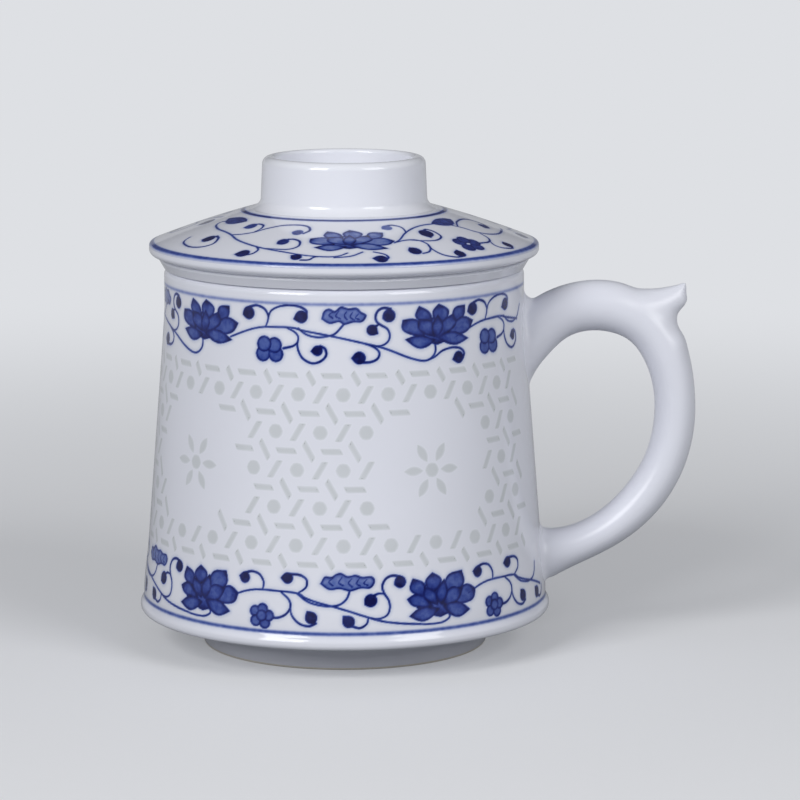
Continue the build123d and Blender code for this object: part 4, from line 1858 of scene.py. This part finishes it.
# ---------------------------------------------------------------- studio
@dataclass(frozen=True)
class StudioPaper:
    """Pale paper: it holds shadows near the object and fades into an even backdrop."""

    seen: Colour = (240, 241, 244)
    bounced: Colour = (160, 162, 165)
    far: Colour = (222, 224, 228)
    even_share: float = 0.25
    mirrored: float = 0.45
    fade_start: float = 0.07
    fade_end: float = 0.6
    roughness: float = 0.7
    shine: float = 0.1

    def material(self) -> bpy.types.Material:
        """Builds the material."""
        sheet = FinishSheet("studio_paper")
        rays = sheet.node("ShaderNodeLightPath").outputs
        mirrored = sheet.math("MULTIPLY", rays["Is Glossy Ray"], self.mirrored)
        looked = sheet.math("MAXIMUM", rays["Is Camera Ray"], mirrored)
        through = sheet.math("MAXIMUM", looked, rays["Is Transmission Ray"])
        reach = sheet.node("ShaderNodeVectorMath", {0: sheet.place}, operation="LENGTH").outputs["Value"]
        bounds = {"From Min": self.fade_start, "From Max": self.fade_end, "To Min": self.even_share}
        fade = sheet.out("ShaderNodeMapRange", {"Value": reach, **bounds}, interpolation_type="SMOOTHSTEP")
        tint = sheet.mix(rays["Is Camera Ray"], self.bounced, self.seen)
        paper = sheet.surface(Base_Color=tint, Roughness=self.roughness, Specular_IOR_Level=self.shine)
        even = sheet.out("ShaderNodeEmission", {"Color": linear_colour(*self.far), "Strength": 1.0})
        share = sheet.math("MULTIPLY", fade, through)
        return sheet.finish(sheet.out("ShaderNodeMixShader", {0: share, 1: paper, 2: even}))


@dataclass(frozen=True)
class Softbox:
    """A large soft lamp that faces the object."""

    name: str
    azimuth: float
    elevation: float
    distance: float
    size: Point
    power: float

    def build(self, aim: Vector) -> None:
        """Hangs the lamp so that it faces a point."""
        turn, rise = math.radians(self.azimuth), math.radians(self.elevation)
        way = Vector((math.sin(turn) * math.cos(rise), -math.cos(turn) * math.cos(rise), math.sin(rise)))
        data = bpy.data.lights.new(self.name, "AREA")
        data.shape = "RECTANGLE"
        data.size, data.size_y = self.size
        data.energy = self.power
        softbox = placed(self.name, data)
        softbox.location = aim + way * self.distance
        softbox.rotation_euler = (-way).to_track_quat("-Z", "Y").to_euler()


@dataclass
class Studio:
    """The pale floor and backdrop, the lamps and the camera, in metres."""

    floor_half_width: float = 3.0
    floor_front: float = -2.5
    floor_back: float = 2.2
    backdrop_height: float = 0.55
    backdrop_round: float = 0.4
    softboxes: tuple[Softbox, ...] = (
        Softbox("softbox_left", -36.0, 28.5, 1.2, (0.5, 0.62), 8.1),
        Softbox("softbox_right", 45.0, 28.5, 1.2, (0.56, 0.62), 5.6),
    )
    lamp_aim: tuple[float, float, float] = (0.0, 0.0, 0.05)
    air_colour: tuple[float, float, float] = (0.88, 0.9, 0.95)
    air_strength: float = 0.21
    air_mirrored: float = 0.12
    air_seen: float = 0.75
    camera_place: tuple[float, float, float] = (0.013, -0.864, 0.2003)
    camera_pitch: float = 9.42
    lens: float = 168.1

    def sweep(self) -> None:
        """Builds the floor that curves up into the backdrop."""
        line = [(self.floor_front, 0.0)]
        for turn in np.radians(np.linspace(0.0, 90.0, 17)):
            along = self.floor_back + self.backdrop_round * math.sin(turn)
            line.append((along, self.backdrop_round * (1 - math.cos(turn))))
        line.append((self.floor_back + self.backdrop_round, self.backdrop_height))
        vertices = [(side * self.floor_half_width, y, z) for y, z in line for side in (-1, 1)]
        faces = [(2 * row, 2 * row + 1, 2 * row + 3, 2 * row + 2) for row in range(len(line) - 1)]
        mesh = smooth_mesh("studio_sweep", vertices, faces)
        mesh.materials.append(StudioPaper().material())
        placed("studio_sweep", mesh)

    def air(self) -> None:
        """Fills the studio with a faint even light."""
        world = bpy.data.worlds.new("studio_air")
        world.use_nodes = True
        sheet = NodeSheet(world.node_tree)
        rays = sheet.node("ShaderNodeLightPath").outputs
        strength = sheet.spread(rays["Is Glossy Ray"], self.air_strength, self.air_mirrored)
        strength = sheet.math("MAXIMUM", strength, sheet.spread(rays["Is Camera Ray"], 0.0, self.air_seen))
        background = world.node_tree.nodes["Background"].inputs
        background["Color"].default_value = (*self.air_colour, 1.0)
        world.node_tree.links.new(strength, background["Strength"])
        bpy.context.scene.world = world

    def build(self) -> None:
        """Sets the whole studio up."""
        self.sweep()
        for softbox in self.softboxes:
            softbox.build(Vector(self.lamp_aim))
        self.air()
        camera = placed("camera", bpy.data.cameras.new("camera"))
        camera.data.lens = self.lens
        camera.data.sensor_width = 36.0
        camera.location = self.camera_place
        camera.rotation_euler = (math.radians(90.0 - self.camera_pitch), 0.0, 0.0)
        bpy.context.scene.camera = camera
        bpy.context.scene.view_settings.view_transform = "Standard"


def main() -> None:
    """Builds the mug's looks piece by piece."""
    logging.basicConfig(level=logging.INFO, format="%(name)s: %(message)s")
    Studio().build()
    porcelain = GlazedPorcelain("glazed_porcelain").material()
    window_glaze = WindowGlaze().material()
    flank = CupSkin().build(porcelain, Biscuit().material())
    windows = WindowSet(flank)
    windows.build("lattice_glaze_windows", windows.lattice(), window_glaze, "cup_porcelain", "cup_body")
    rosettes = windows.rosettes()
    windows.build("rosette_glaze_windows", rosettes, window_glaze, "window_glaze", "rosette_window_glaze")
    Handle(flank).build(GlazedPorcelain("handle_glaze", roughness=0.29, shine=0.42).material())
    Infuser().build(porcelain)
    # The knob gets a whiter copy of the glaze, a painted highlight.
    Lid().build(porcelain, GlazedPorcelain("knob_glaze", scale=KNOB_PAINTED_LIGHT).material())


if __name__ == "__main__":
    main()
